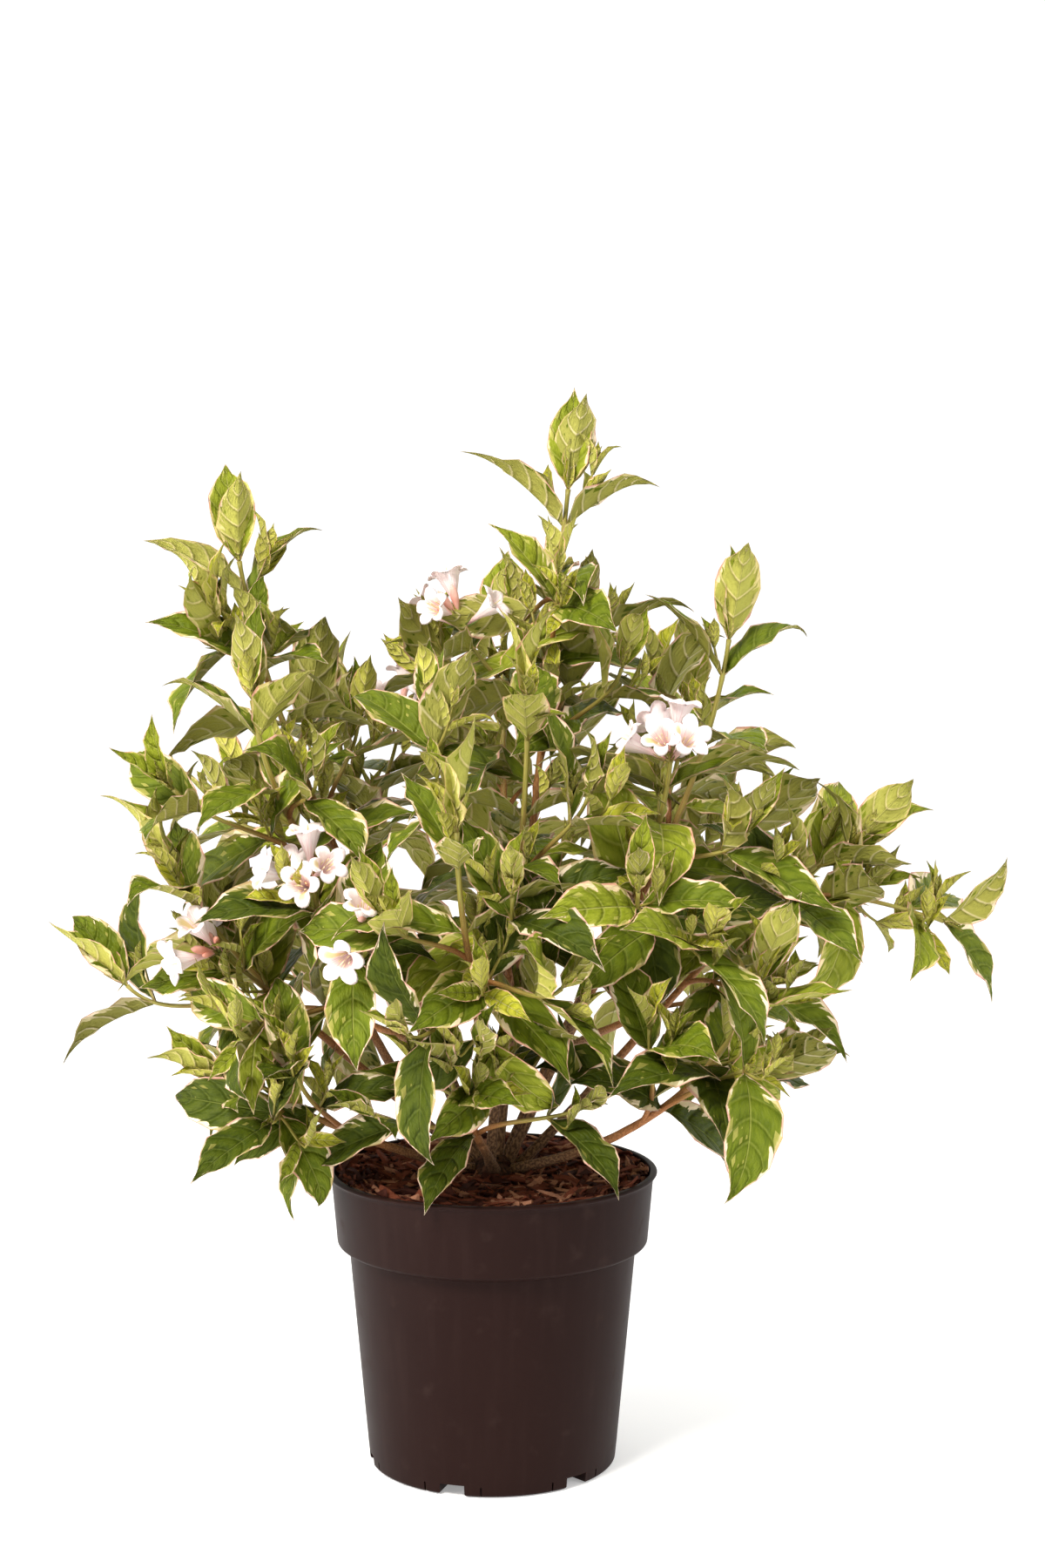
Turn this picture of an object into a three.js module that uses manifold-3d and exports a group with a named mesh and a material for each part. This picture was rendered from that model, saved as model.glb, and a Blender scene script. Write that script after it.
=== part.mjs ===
// A young variegated weigela in its round nursery pot: a short woody stool in bark mulch, slender canes that
// lean out from it, and masses of leafy shoots with paired leaves and a few clusters of trumpet flowers.
// Millimetres, +Z up, origin in the middle of the pot's flat underside, -Y is the plant's front.
import * as THREE from 'three';
import { mergeVertices } from 'three/addons/utils/BufferGeometryUtils.js';
import Module from 'manifold-3d';

const wasm = await Module();
wasm.setup();

// ---------------------------------------------------------------- driving dimensions
const GAP = 0.3; // air between touching pieces
// Steps of the grid that fused corners are set to, first choice first.
const GRIDS = [0.002, 0.003, 0.0015, 0.004, 0.005, 0.007];

// Pot, a five litre container.
const POT_HEIGHT = 200;
const RIM_RADIUS = 112;
const RIM_BEAD = 3;
const COLLAR_TOP_RADIUS = 109.5;
const COLLAR_FOOT_RADIUS = 105.6;
const COLLAR_FOOT = 149;
const BODY_TOP_RADIUS = 97.5;
const BODY_FOOT_RADIUS = 84;
const FOOT_ROUND = 2.4;
const WALL = 2.2;
const TURNED_SIDES = 36;
const FLOOR = 12;
const DRAIN_COUNT = 6;
const DRAIN_WIDTH = 17;
const DRAIN_HEIGHT = 7.5;
const DRAIN_DEPTH = 26;
const DRAIN_TURN = 252;

// Mulch and stool.
const MULCH_EDGE = 194;
const MULCH_CROWN = 196;
const STOOL_RADIUS = 27;
const STOOL_HEIGHT = 12;

// Canes and shoots.
const CANE_FOOT_HEIGHT = 201;
const CANE_FOOT_RADIUS = 4;
const CANE_TIP_RADIUS = 1.5;
const SHOOT_RADIUS = 1.9;
const SHOOT_TIP_RADIUS = 1.2;
const BUD_GAP = 25; // from the top leaf pair to the next
const INTERNODE = 44; // from each pair to the next one down

// Leaves by age: length, width, spread off the shoot, arch of the midrib and fold along it. A young side
// shoot ends in a pair of the first age, a stem in one of the second, an opened shoot in one of the third.
const LEAF_STAGES = [
  { length: 48, width: 21, spread: 12, arch: 6, fold: 38 },
  { length: 68, width: 35, spread: 13, arch: 6, fold: 34 },
  { length: 82, width: 38, spread: 44, arch: 28, fold: 26 },
  { length: 90, width: 41, spread: 66, arch: 42, fold: 20 },
  { length: 88, width: 42, spread: 78, arch: 48, fold: 16 },
];
const LEAF_THICKNESS = 1.3;
const LEAF_WIDEST = 0.42; // how far along a leaf is widest
const LEAF_ROOT = 0.4; // how far a root is sunk past the shoot's axis
const LEAF_NECK = 4; // the stretch at a leaf's root that may stand in its own shoot
const LEAF_SPACE = 10; // kept between the blades of different pairs
const TWIG_SPACE = 6; // kept between a blade and a shoot
const GUARD = 0.5; // how much stouter a piece is taken when it is tried against its neighbours

// Flowers.
const FLOWER_LENGTH = 34;
const FLOWER_RADIUS = 14.5;
const FLOWER_NOTCH = 8.5;
const FLOWER_STALK = 6;
const FLOWER_LIFT = 24; // how far flowers stand above the first leaf pair below them

// Each row is a bough and its mass. foot is where the cane stands on the stool, or fork names the bough that
// it leaves and how far up. tip is the top leaf pair, rise the slope there and launch the slope at the foot,
// in degrees. enter is where the bough ends in its mass. Each shoot leaves the stem at "at", ends at its own
// tip and may carry flowers. leaf scales the leaves of a mass. age is the age of the top leaf pair and turn
// its heading: 0 lies left and right, 90 front and back.
const CROWN = [
  {
    name: 'leader', foot: [3, 5], tip: [51, 10, 659], rise: 84, enter: 0.36, turn: 90, shoots: [
      { at: 0.76, tip: [44, -30, 602], rise: 86, turn: 30 },
      { at: 0.84, tip: [16, 32, 572], rise: 84, turn: 70 },
      { at: 0.58, tip: [66, 60, 576], rise: 86, turn: 100 },
      { at: 0.66, tip: [-38, 36, 552], rise: 80, turn: 20 },
      { at: 0.62, tip: [-22, 10, 572], rise: 75, flowers: 4, age: 3, turn: 70 },
      { at: 0.6, tip: [86, -24, 540], rise: 70, turn: 60 },
    ],
  },
  {
    name: 'front_top', foot: [-2, -9], tip: [24, -90, 521], rise: 87, enter: 0.42, turn: 0, shoots: [
      { at: 0.5, tip: [-40, -76, 512], rise: 86, turn: 60 },
      { at: 0.62, tip: [62, -104, 462], rise: 66, turn: 30 },
      { at: 0.45, tip: [14, -150, 404], rise: 60, turn: 50 },
    ],
  },
  {
    name: 'front_centre', fork: ['front_top', 0.16], tip: [-20, -150, 444], rise: 86, enter: 0.36, turn: 10,
    shoots: [
      { at: 0.56, tip: [-66, -150, 392], rise: 60, turn: 80 },
      { at: 0.46, tip: [44, -158, 348], rise: 40, turn: 40 },
      { at: 0.4, tip: [-50, -150, 318], rise: 30, turn: 20 },
      { at: 0.44, tip: [-6, -128, 300], rise: 40, turn: 60 },
    ],
  },
  {
    name: 'right_top', foot: [10, 2], tip: [158, -8, 559], rise: 82, enter: 0.46, turn: 100, shoots: [
      { at: 0.62, tip: [112, 34, 528], rise: 80, turn: 30 },
      { at: 0.66, tip: [142, 44, 484], rise: 80, turn: 90 },
    ],
  },
  {
    name: 'right_front', fork: ['right_top', 0.2], tip: [116, -74, 488], rise: 84, enter: 0.4, turn: 10,
    flowers: 6, age: 3, shoots: [
      { at: 0.62, tip: [164, -92, 438], rise: 58, turn: 60 },
      { at: 0.52, tip: [92, -142, 406], rise: 56, turn: 100 },
      { at: 0.44, tip: [136, -140, 376], rise: 40, turn: 30 },
    ],
  },
  {
    name: 'right_arm', foot: [18, 6], tip: [240, 4, 418], rise: 30, enter: 0.5, turn: 40, shoots: [
      { at: 0.8, tip: [302, -16, 371], rise: -16, age: 2, turn: 60 },
      { at: 0.66, tip: [198, -70, 410], rise: 80, turn: 30 },
      { at: 0.7, tip: [242, 12, 386], rise: 26, turn: 20 },
      { at: 0.52, tip: [178, -66, 340], rise: 74, turn: 50 },
    ],
  },
  {
    name: 'right_low', foot: [14, -9], tip: [170, -120, 346], rise: 66, launch: 16, enter: 0.42, turn: 75,
    shoots: [
      { at: 0.62, tip: [190, -80, 284], rise: 26, turn: 60 },
      { at: 0.5, tip: [158, -142, 294], rise: 20, age: 3, turn: 90 },
      { at: 0.44, tip: [100, -128, 318], rise: 50, turn: 20 },
    ],
  },
  {
    name: 'left_top', foot: [-9, 6], tip: [-171, 20, 611], rise: 80, enter: 0.46, turn: 105, shoots: [
      { at: 0.66, tip: [-129, 62, 515], rise: 84, turn: 20 },
      { at: 0.78, tip: [-158, -12, 556], rise: 84, turn: 60 },
      { at: 0.86, tip: [-184, -6, 566], rise: 76, age: 1, turn: 0 },
      { at: 0.56, tip: [-92, 30, 500], rise: 84, turn: 110 },
      { at: 0.52, tip: [-186, 70, 440], rise: 60, turn: 50 },
    ],
  },
  {
    name: 'left_middle', fork: ['left_top', 0.22], tip: [-156, -44, 520], rise: 84, enter: 0.42, turn: 70,
    shoots: [
      { at: 0.5, tip: [-206, -62, 463], rise: 46, turn: 20 },
      { at: 0.66, tip: [-112, -78, 470], rise: 76, turn: 30 },
    ],
  },
  {
    name: 'left_arm', foot: [-14, 2], tip: [-205, -60, 408], rise: 60, enter: 0.5, turn: 0, shoots: [
      { at: 0.56, tip: [-244, -20, 328], rise: 46, age: 1, turn: 70 },
      { at: 0.56, tip: [-176, -70, 358], rise: 40, flowers: 3, age: 3, turn: 0 },
      { at: 0.44, tip: [-196, 30, 366], rise: 60, turn: 50 },
    ],
  },
  {
    name: 'left_front', fork: ['left_arm', 0.18], tip: [-114, -96, 408], rise: 76, enter: 0.4, turn: 40,
    flowers: 5, age: 3, shoots: [
      { at: 0.56, tip: [-82, -126, 374], rise: 50, flowers: 2, age: 3, turn: 80 },
      { at: 0.46, tip: [-164, -104, 322], rise: 34, turn: 60 },
    ],
  },
  {
    name: 'left_low', foot: [-13, -8], leaf: 0.84, tip: [-174, -60, 272], rise: 24, launch: 14, enter: 0.46,
    turn: 60, shoots: [
      { at: 0.5, tip: [-128, -110, 300], rise: 60, turn: 10 },
      { at: 0.72, tip: [-140, -96, 252], rise: 10, age: 2, turn: 50 },
      { at: 0.66, tip: [-170, -8, 268], rise: 24, turn: 40 },
    ],
  },
  {
    name: 'front_low', foot: [2, -15], leaf: 0.86, tip: [-26, -112, 286], rise: 50, enter: 0.3, turn: 65,
    shoots: [
      { at: 0.4, tip: [56, -106, 262], rise: 24, turn: 20 },
      { at: 0.5, tip: [26, -96, 322], rise: 70, age: 1, turn: 50 },
      { at: 0.36, tip: [-74, -96, 256], rise: 24, turn: 110 },
    ],
  },
  {
    name: 'back_left', foot: [-8, 13], tip: [-116, 150, 500], rise: 80, enter: 0.44, turn: 30, shoots: [
      { at: 0.6, tip: [-186, 160, 452], rise: 62, turn: 80 },
      { at: 0.52, tip: [-104, 218, 385], rise: 56, turn: 20 },
      { at: 0.66, tip: [-70, 176, 500], rise: 80, flowers: 4, age: 3, turn: 60 },
    ],
  },
  {
    name: 'back_centre', fork: ['leader', 0.14], tip: [6, 152, 556], rise: 82, enter: 0.4, turn: 100,
    shoots: [
      { at: 0.62, tip: [-44, 190, 500], rise: 74, turn: 40 },
      { at: 0.56, tip: [58, 204, 486], rise: 68, turn: 10 },
      { at: 0.46, tip: [8, 232, 404], rise: 50, turn: 70 },
    ],
  },
  {
    name: 'back_right', foot: [8, 13], tip: [140, 138, 508], rise: 80, enter: 0.44, turn: 50, shoots: [
      { at: 0.6, tip: [196, 150, 428], rise: 64, turn: 10 },
      { at: 0.52, tip: [158, 206, 420], rise: 58, flowers: 3, age: 3, turn: 90 },
      { at: 0.5, tip: [214, 92, 376], rise: 50, turn: 30 },
    ],
  },
  {
    name: 'back_low_left', fork: ['back_left', 0.2], tip: [-150, 176, 316], rise: 46, enter: 0.4, turn: 70,
    shoots: [
      { at: 0.6, tip: [-204, 108, 298], rise: 24, turn: 20 },
      { at: 0.56, tip: [-84, 226, 312], rise: 36, turn: 100 },
    ],
  },
  {
    name: 'back_low_right', fork: ['back_right', 0.2], tip: [146, 184, 314], rise: 44, enter: 0.4, turn: 20,
    shoots: [
      { at: 0.6, tip: [196, 124, 304], rise: 24, turn: 70 },
      { at: 0.54, tip: [64, 230, 318], rise: 40, turn: 110 },
    ],
  },
];

// ---------------------------------------------------------------- small helpers
const UP = new THREE.Vector3(0, 0, 1);
const RIGHT = new THREE.Vector3(1, 0, 0);
const radians = THREE.MathUtils.degToRad;
const lerp = THREE.MathUtils.lerp;
const vector = (x, y, z) => new THREE.Vector3(x, y, z);

// A point some way along one or more directions: start + direction * amount + ...
const along = (start, ...steps) => {
  const point = start.clone();
  for (let i = 0; i < steps.length; i += 2) {
    point.addScaledVector(steps[i], steps[i + 1]);
  }
  return point;
};

// The part of a direction that is square to an axis, at unit length.
const squareTo = (direction, axis) => along(direction, axis, -direction.dot(axis)).normalize();

// A repeatable run of numbers from 0 to 1, the same for the same seed.
const seededRule = (seed) => {
  let state = seed >>> 0;
  const next = () => {
    state = (Math.imul(1664525, state) + 1013904223) >>> 0;
    return state / 4294967296;
  };
  next();
  next();
  return next;
};

// ---------------------------------------------------------------- solids
const solidOf = (points, faces) => new wasm.Manifold(new wasm.Mesh({
  numProp: 3,
  vertProperties: new Float32Array(points.flatMap((point) => point.toArray())),
  triVerts: new Uint32Array(faces.flat()),
}));

const solidFromGeometry = (geometry) => {
  const bare = geometry.clone();
  bare.deleteAttribute('normal');
  bare.deleteAttribute('uv');
  const merged = mergeVertices(bare, 1e-3);
  const mesh = new wasm.Mesh({
    numProp: 3,
    vertProperties: merged.attributes.position.array,
    triVerts: new Uint32Array(merged.index.array),
  });
  return new wasm.Manifold(mesh);
};

// The largest of the shells in a solid as a geometry: loose scraps are dropped and sealed hollows are filled.
const largestShell = (solid) => {
  const { vertProperties, triVerts } = solid.getMesh();
  const group = Array.from({ length: vertProperties.length / 3 }, (_, i) => i);
  const find = (i) => {
    let top = i;
    while (group[top] !== top) {
      group[top] = group[group[top]];
      top = group[top];
    }
    return top;
  };
  for (let t = 0; t < triVerts.length; t += 3) {
    group[find(triVerts[t + 1])] = find(triVerts[t]);
    group[find(triVerts[t + 2])] = find(triVerts[t]);
  }
  const counts = new Map();
  for (let t = 0; t < triVerts.length; t += 3) {
    const shell = find(triVerts[t]);
    counts.set(shell, (counts.get(shell) ?? 0) + 1);
  }
  const largest = [...counts].reduce((best, entry) => (entry[1] > best[1] ? entry : best))[0];
  const kept = [];
  for (let t = 0; t < triVerts.length; t += 3) {
    if (find(triVerts[t]) === largest) {
      kept.push(triVerts[t], triVerts[t + 1], triVerts[t + 2]);
    }
  }
  const geometry = new THREE.BufferGeometry();
  geometry.setAttribute('position', new THREE.BufferAttribute(new Float32Array(vertProperties), 3));
  geometry.setIndex(kept);
  return geometry;
};

// Whether every edge of a surface is shared by exactly two faces.
const isSealed = (geometry) => {
  const merged = mergeVertices(geometry, 1e-3).index.array;
  const uses = new Map();
  merged.forEach((corner, i) => {
    const next = merged[i % 3 === 2 ? i - 2 : i + 1];
    const edge = `${Math.min(corner, next)} ${Math.max(corner, next)}`;
    uses.set(edge, (uses.get(edge) ?? 0) + 1);
  });
  return [...uses.values()].every((count) => count === 2);
};

// Corners are drawn to a fine grid, so that no two of them are closer than its step, and what that parts is
// dropped too. Where two edges would fall on each other, the next grid is taken.
const geometryOf = (solid) => {
  const raw = largestShell(solid);
  let geometry = raw;
  for (const step of GRIDS) {
    const drawn = raw.clone();
    const corners = drawn.attributes.position.array;
    corners.forEach((value, i) => {
      corners[i] = Math.round(value / step) * step;
    });
    geometry = largestShell(solidFromGeometry(drawn));
    if (isSealed(geometry)) {
      break;
    }
  }
  return geometry;
};

// Joins many solids two by two, which is quicker than one after the other.
const fuse = (solids) => {
  let round = solids;
  while (round.length > 1) {
    round = Array.from({ length: Math.ceil(round.length / 2) }, (_, i) => (
      2 * i + 1 < round.length ? round[2 * i].add(round[2 * i + 1]) : round[2 * i]));
  }
  return round[0];
};

// A turned piece from a closed outline of radius and height pairs.
const turned = (outline, segments) => {
  const profile = outline.map(([radius, height]) => new THREE.Vector2(radius, height));
  const geometry = new THREE.LatheGeometry(profile, segments);
  geometry.rotateX(Math.PI / 2);
  return solidFromGeometry(geometry);
};

// A closed tapering limb with flat ends, along a stretch of a curve.
const limbSolid = (curve, from, to, radiusAt, sides, steps) => {
  const points = [];
  const faces = [];
  const reference = curve.side;
  for (let i = 0; i <= steps; i += 1) {
    const t = lerp(from, to, i / steps);
    const centre = curve.getPoint(t);
    const tangent = curve.getTangent(t);
    const u = squareTo(reference, tangent);
    const v = tangent.clone().cross(u);
    for (let k = 0; k < sides; k += 1) {
      const angle = (2 * Math.PI * k) / sides;
      points.push(along(centre, u, radiusAt(t) * Math.cos(angle), v, radiusAt(t) * Math.sin(angle)));
    }
  }
  for (let i = 0; i < steps; i += 1) {
    for (let k = 0; k < sides; k += 1) {
      const a = i * sides + k;
      const b = i * sides + ((k + 1) % sides);
      faces.push([a, b, b + sides], [a, b + sides, a + sides]);
    }
  }
  const last = steps * sides;
  for (let k = 1; k < sides - 1; k += 1) {
    faces.push([0, k + 1, k], [last, last + k, last + k + 1]);
  }
  return solidOf(points, faces);
};

// ---------------------------------------------------------------- pot, mulch and stool
const potOutline = () => {
  const outline = [[0, 0]];
  for (let i = 0; i <= 2; i += 1) {
    const angle = radians(-90 + 45 * i);
    outline.push([
      BODY_FOOT_RADIUS - FOOT_ROUND + FOOT_ROUND * Math.cos(angle), FOOT_ROUND + FOOT_ROUND * Math.sin(angle),
    ]);
  }
  outline.push(
    [BODY_TOP_RADIUS, COLLAR_FOOT - 2],
    [COLLAR_FOOT_RADIUS - 2, COLLAR_FOOT],
    [COLLAR_FOOT_RADIUS, COLLAR_FOOT + 4],
    [COLLAR_TOP_RADIUS, POT_HEIGHT - RIM_BEAD - 1],
    [RIM_RADIUS - 0.8, POT_HEIGHT - RIM_BEAD],
    [RIM_RADIUS, POT_HEIGHT - RIM_BEAD / 2],
    [RIM_RADIUS - 1.4, POT_HEIGHT],
    [COLLAR_TOP_RADIUS - WALL + 1, POT_HEIGHT],
    [COLLAR_TOP_RADIUS - WALL, POT_HEIGHT - 3],
    [COLLAR_FOOT_RADIUS - WALL, COLLAR_FOOT + 5],
    [BODY_TOP_RADIUS - WALL, COLLAR_FOOT],
    [BODY_FOOT_RADIUS - WALL + 0.4, FLOOR],
    [0, FLOOR],
  );
  return outline;
};

const potSolid = () => {
  let pot = turned(potOutline(), TURNED_SIDES);
  for (let i = 0; i < DRAIN_COUNT; i += 1) {
    const drain = new THREE.BoxGeometry(2 * DRAIN_DEPTH, DRAIN_WIDTH, 2 * DRAIN_HEIGHT);
    drain.translate(BODY_FOOT_RADIUS, 0, 0);
    drain.rotateZ(radians(DRAIN_TURN + (360 / DRAIN_COUNT) * i));
    pot = pot.subtract(solidFromGeometry(drain));
  }
  return pot;
};

const mulchSolid = () => turned([
  [0, FLOOR + GAP],
  [BODY_FOOT_RADIUS - WALL, FLOOR + GAP],
  [BODY_TOP_RADIUS - WALL - GAP, COLLAR_FOOT + GAP],
  [COLLAR_FOOT_RADIUS - WALL - GAP, COLLAR_FOOT + 5 + GAP],
  [COLLAR_TOP_RADIUS - WALL - GAP - 0.4, MULCH_EDGE],
  [72, MULCH_EDGE + 1],
  [STOOL_RADIUS + 8, MULCH_CROWN],
  [0, MULCH_CROWN],
], TURNED_SIDES);

// The stool is a low knuckle with a flared foot; grown is the same knuckle with its skin moved out.
const stoolSolid = (grown = 0) => turned([
  [0, MULCH_CROWN + GAP - grown],
  [STOOL_RADIUS + grown, MULCH_CROWN + GAP - grown],
  [STOOL_RADIUS * 0.8 + grown, MULCH_CROWN + STOOL_HEIGHT * 0.34 + grown],
  [STOOL_RADIUS * 0.6 + grown, MULCH_CROWN + STOOL_HEIGHT * 0.76 + grown],
  [STOOL_RADIUS * 0.3 + grown, MULCH_CROWN + STOOL_HEIGHT + grown],
  [0, MULCH_CROWN + STOOL_HEIGHT + grown],
], 20);

// ---------------------------------------------------------------- paths of canes and shoots
// A limb starts in one direction and bends to its rise: the slope at its tip, headed away from the start.
const limbPath = (start, startDirection, tip, rise) => {
  const span = start.distanceTo(tip);
  const outward = vector(tip.x - start.x, tip.y - start.y, 0).normalize();
  const endDirection = along(vector(0, 0, 0), outward, Math.cos(radians(rise)), UP, Math.sin(radians(rise)));
  const curve = new THREE.CubicBezierCurve3(
    start, along(start, startDirection, span * 0.38), along(tip, endDirection, -span * 0.34), tip);
  curve.side = UP.clone().cross(outward);
  return curve;
};

const caneRadius = (t) => lerp(CANE_FOOT_RADIUS, CANE_TIP_RADIUS, Math.min(1, t) ** 0.7);
const shootRadius = (t) => lerp(SHOOT_RADIUS, SHOOT_TIP_RADIUS, t);

const canePaths = new Map();
for (const row of CROWN) {
  const tip = vector(...row.tip);
  let start;
  if (row.foot) {
    start = vector(row.foot[0], row.foot[1], CANE_FOOT_HEIGHT);
  } else {
    start = canePaths.get(row.fork[0]).getPoint(row.fork[1]);
  }
  const chord = along(tip, start, -1).normalize();
  if (row.launch !== undefined) {
    const outward = vector(chord.x, chord.y, 0).normalize();
    const launch = radians(row.launch);
    chord.copy(along(vector(0, 0, 0), outward, Math.cos(launch), UP, Math.sin(launch)));
  }
  canePaths.set(row.name, limbPath(start, chord, tip, row.rise));
}

// A side shoot leaves between the stem's own direction and the way to its tip.
const shootPath = (stem, shoot) => {
  const start = stem.getPoint(shoot.at);
  const tip = vector(...shoot.tip);
  const leave = along(tip, start, -1).normalize().addScaledVector(stem.getTangent(shoot.at), 0.7).normalize();
  return limbPath(start, leave, tip, shoot.rise);
};

// ---------------------------------------------------------------- leaves and flowers
// A leaf springs from a point with a direction and an upper side, arches away from that side on a round bend
// and is folded up along its midrib. place(s, across) is a point at s along it and across it, from -1 to 1.
const leafFrame = (node, tangent, heading, stage, sizes) => {
  const u = squareTo(RIGHT, tangent);
  const v = tangent.clone().cross(u);
  const out = along(vector(0, 0, 0), u, Math.cos(radians(heading)), v, Math.sin(radians(heading)));
  const spread = radians(stage.spread + sizes.spread);
  const direction = along(vector(0, 0, 0), tangent, Math.cos(spread), out, Math.sin(spread), UP, 0.12);
  direction.normalize();
  const upper = along(vector(0, 0, 0), tangent, Math.sin(spread), out, -Math.cos(spread), UP, 0.8);
  const level = squareTo(upper, direction);
  const roll = radians(sizes.roll);
  const tilted = direction.clone().cross(level);
  const normal = along(vector(0, 0, 0), level, Math.cos(roll), tilted, Math.sin(roll));
  const side = direction.clone().cross(normal);
  const length = stage.length * sizes.scale;
  const width = stage.width * sizes.scale;
  const arch = radians(stage.arch + sizes.arch);
  const fold = radians(stage.fold);
  const place = (s, across, lift = 0) => {
    const half = (width / 2) * across;
    const forward = (length * Math.sin(arch * s)) / arch;
    const sunk = (length * (1 - Math.cos(arch * s))) / arch;
    const local = along(vector(0, 0, 0), normal, Math.cos(arch * s), direction, Math.sin(arch * s));
    return along(node, direction, forward, normal, -sunk, side, half * Math.cos(fold),
      local, Math.abs(half) * Math.sin(fold) + lift);
  };
  return { node, direction, side, place };
};

const leafProbes = (leaf) => [
  leaf.place(0.35, 0), leaf.place(0.6, 0), leaf.place(0.88, 0), leaf.place(0.5, 0.8), leaf.place(0.5, -0.8),
];

// A blade of eight faces: two four sided outlines with one sharp edge, thickest in the middle of the midrib.
const leafSolid = (leaf, from = -LEAF_ROOT, guard = 0) => {
  const wide = 1.06 + guard / 18;
  const points = [
    along(leaf.node, leaf.direction, from),
    leaf.place(LEAF_WIDEST, wide),
    leaf.place(1 + guard / 80, 0),
    leaf.place(LEAF_WIDEST, -wide),
    leaf.place(LEAF_WIDEST, 0, LEAF_THICKNESS / 2 + guard),
    leaf.place(LEAF_WIDEST, 0, -LEAF_THICKNESS / 2 - guard),
  ];
  const faces = [];
  for (let k = 0; k < 4; k += 1) {
    faces.push([4, k, (k + 1) % 4], [5, (k + 1) % 4, k]);
  }
  return solidOf(points, faces);
};

// A flower is a five lobed trumpet: a star shaped mouth, dished to its throat, on a cone down to its stalk.
const flowerSolid = (root, direction, turn, guard = 0) => {
  const u = squareTo(RIGHT, direction);
  const v = direction.clone().cross(u);
  const points = [along(root, direction, -guard)];
  for (let k = 0; k < 10; k += 1) {
    const radius = (k % 2 ? FLOWER_NOTCH : FLOWER_RADIUS) + guard;
    const angle = turn + (Math.PI * k) / 5;
    const reach = FLOWER_LENGTH - (k % 2 ? 2 : 0);
    points.push(along(root, direction, reach, u, radius * Math.cos(angle), v, radius * Math.sin(angle)));
  }
  points.push(along(root, direction, FLOWER_LENGTH - 8 + guard));
  const faces = [];
  for (let k = 1; k <= 10; k += 1) {
    const after = (k % 10) + 1;
    faces.push([0, after, k], [11, k, after]);
  }
  return solidOf(points, faces);
};

// ---------------------------------------------------------------- clearances between nodes
const placed = []; // every fused piece so far: its owner, its solid and its box
const boxOf = (solid) => {
  const { min, max } = solid.boundingBox();
  return new THREE.Box3(vector(...min), vector(...max));
};
const remember = (owner, solid) => placed.push({ owner, solid, box: boxOf(solid) });

const isClear = (solid, owner = '') => {
  const box = boxOf(solid);
  return placed.every((other) => other.owner === owner || !other.box.intersectsBox(box)
    || solid.intersect(other.solid).isEmpty());
};

const bladeProbes = [];
const twigProbes = [];
const nearest = (points, others) => {
  let least = Infinity;
  for (const point of points) {
    for (const other of others) {
      least = Math.min(least, point.distanceToSquared(other));
    }
  }
  return Math.sqrt(least);
};

// ---------------------------------------------------------------- limbs
const potted = potSolid();
const mulch = mulchSolid();
const stool = stoolSolid();
remember('pot', potted);
remember('mulch', mulch);
remember('stool', stool);

const boughs = new Map();
for (const row of CROWN) {
  const path = canePaths.get(row.name);
  const steps = Math.max(4, Math.round(8 * row.enter));
  let bough = limbSolid(path, 0, row.enter, caneRadius, 6, steps);
  if (row.foot) {
    bough = bough.subtract(stoolSolid(GAP));
  } else {
    const parent = canePaths.get(row.fork[0]);
    const grown = (t) => caneRadius(t) + GAP;
    bough = bough.subtract(limbSolid(parent, 0, 1, grown, 6, steps * 3));
  }
  boughs.set(row.name, bough);
  remember(row.name + '_bough', bough);
  for (let t = 0.1; t <= row.enter; t += 0.04) {
    twigProbes.push(path.getPoint(t));
  }
}

// ---------------------------------------------------------------- stems and shoots of the masses
const masses = new Map();
CROWN.forEach((row, massIndex) => {
  const path = canePaths.get(row.name);
  const span = path.getLength();
  const start = row.enter + (GAP + 0.1) / span;
  const stem = limbSolid(path, start, 1, (t) => caneRadius(t) * 0.96, 4, 5);
  remember(row.name, stem);
  const main = { path, from: start, flowers: row.flowers ?? 0, age: row.age ?? 1, turn: row.turn };
  const shoots = [{ ...main, seed: massIndex * 64 + 1 }];
  const solids = [stem];
  row.shoots.forEach((shoot, shootIndex) => {
    const side = shootPath(path, shoot);
    const solid = limbSolid(side, 0, 1, shootRadius, 3, 3);
    if (!isClear(limbSolid(side, 0, 1, (t) => shootRadius(t) + GUARD, 3, 3), row.name)) {
      return;
    }
    remember(row.name, solid);
    solids.push(solid);
    const { flowers = 0, age = 0, turn } = shoot;
    shoots.push({ path: side, from: 0.2, flowers, age, turn, seed: massIndex * 64 + shootIndex + 2 });
  });
  for (const shoot of shoots) {
    for (let t = shoot.from + 0.04; t < 1; t += 0.05) {
      twigProbes.push(shoot.path.getPoint(t));
    }
  }
  masses.set(row.name, { shoots, solids, leaf: row.leaf ?? 1 });
});

// ---------------------------------------------------------------- leaf pairs and flowers
// A leaf that comes too near its neighbours is turned or tipped a little, in this order.
const SECOND_TRIES = [
  [0, 0], [15, 0], [-15, 0], [0, 14], [0, -14], [28, 0], [-28, 0], [16, 15], [-16, -15], [40, 10], [-40, 10],
];

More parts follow.
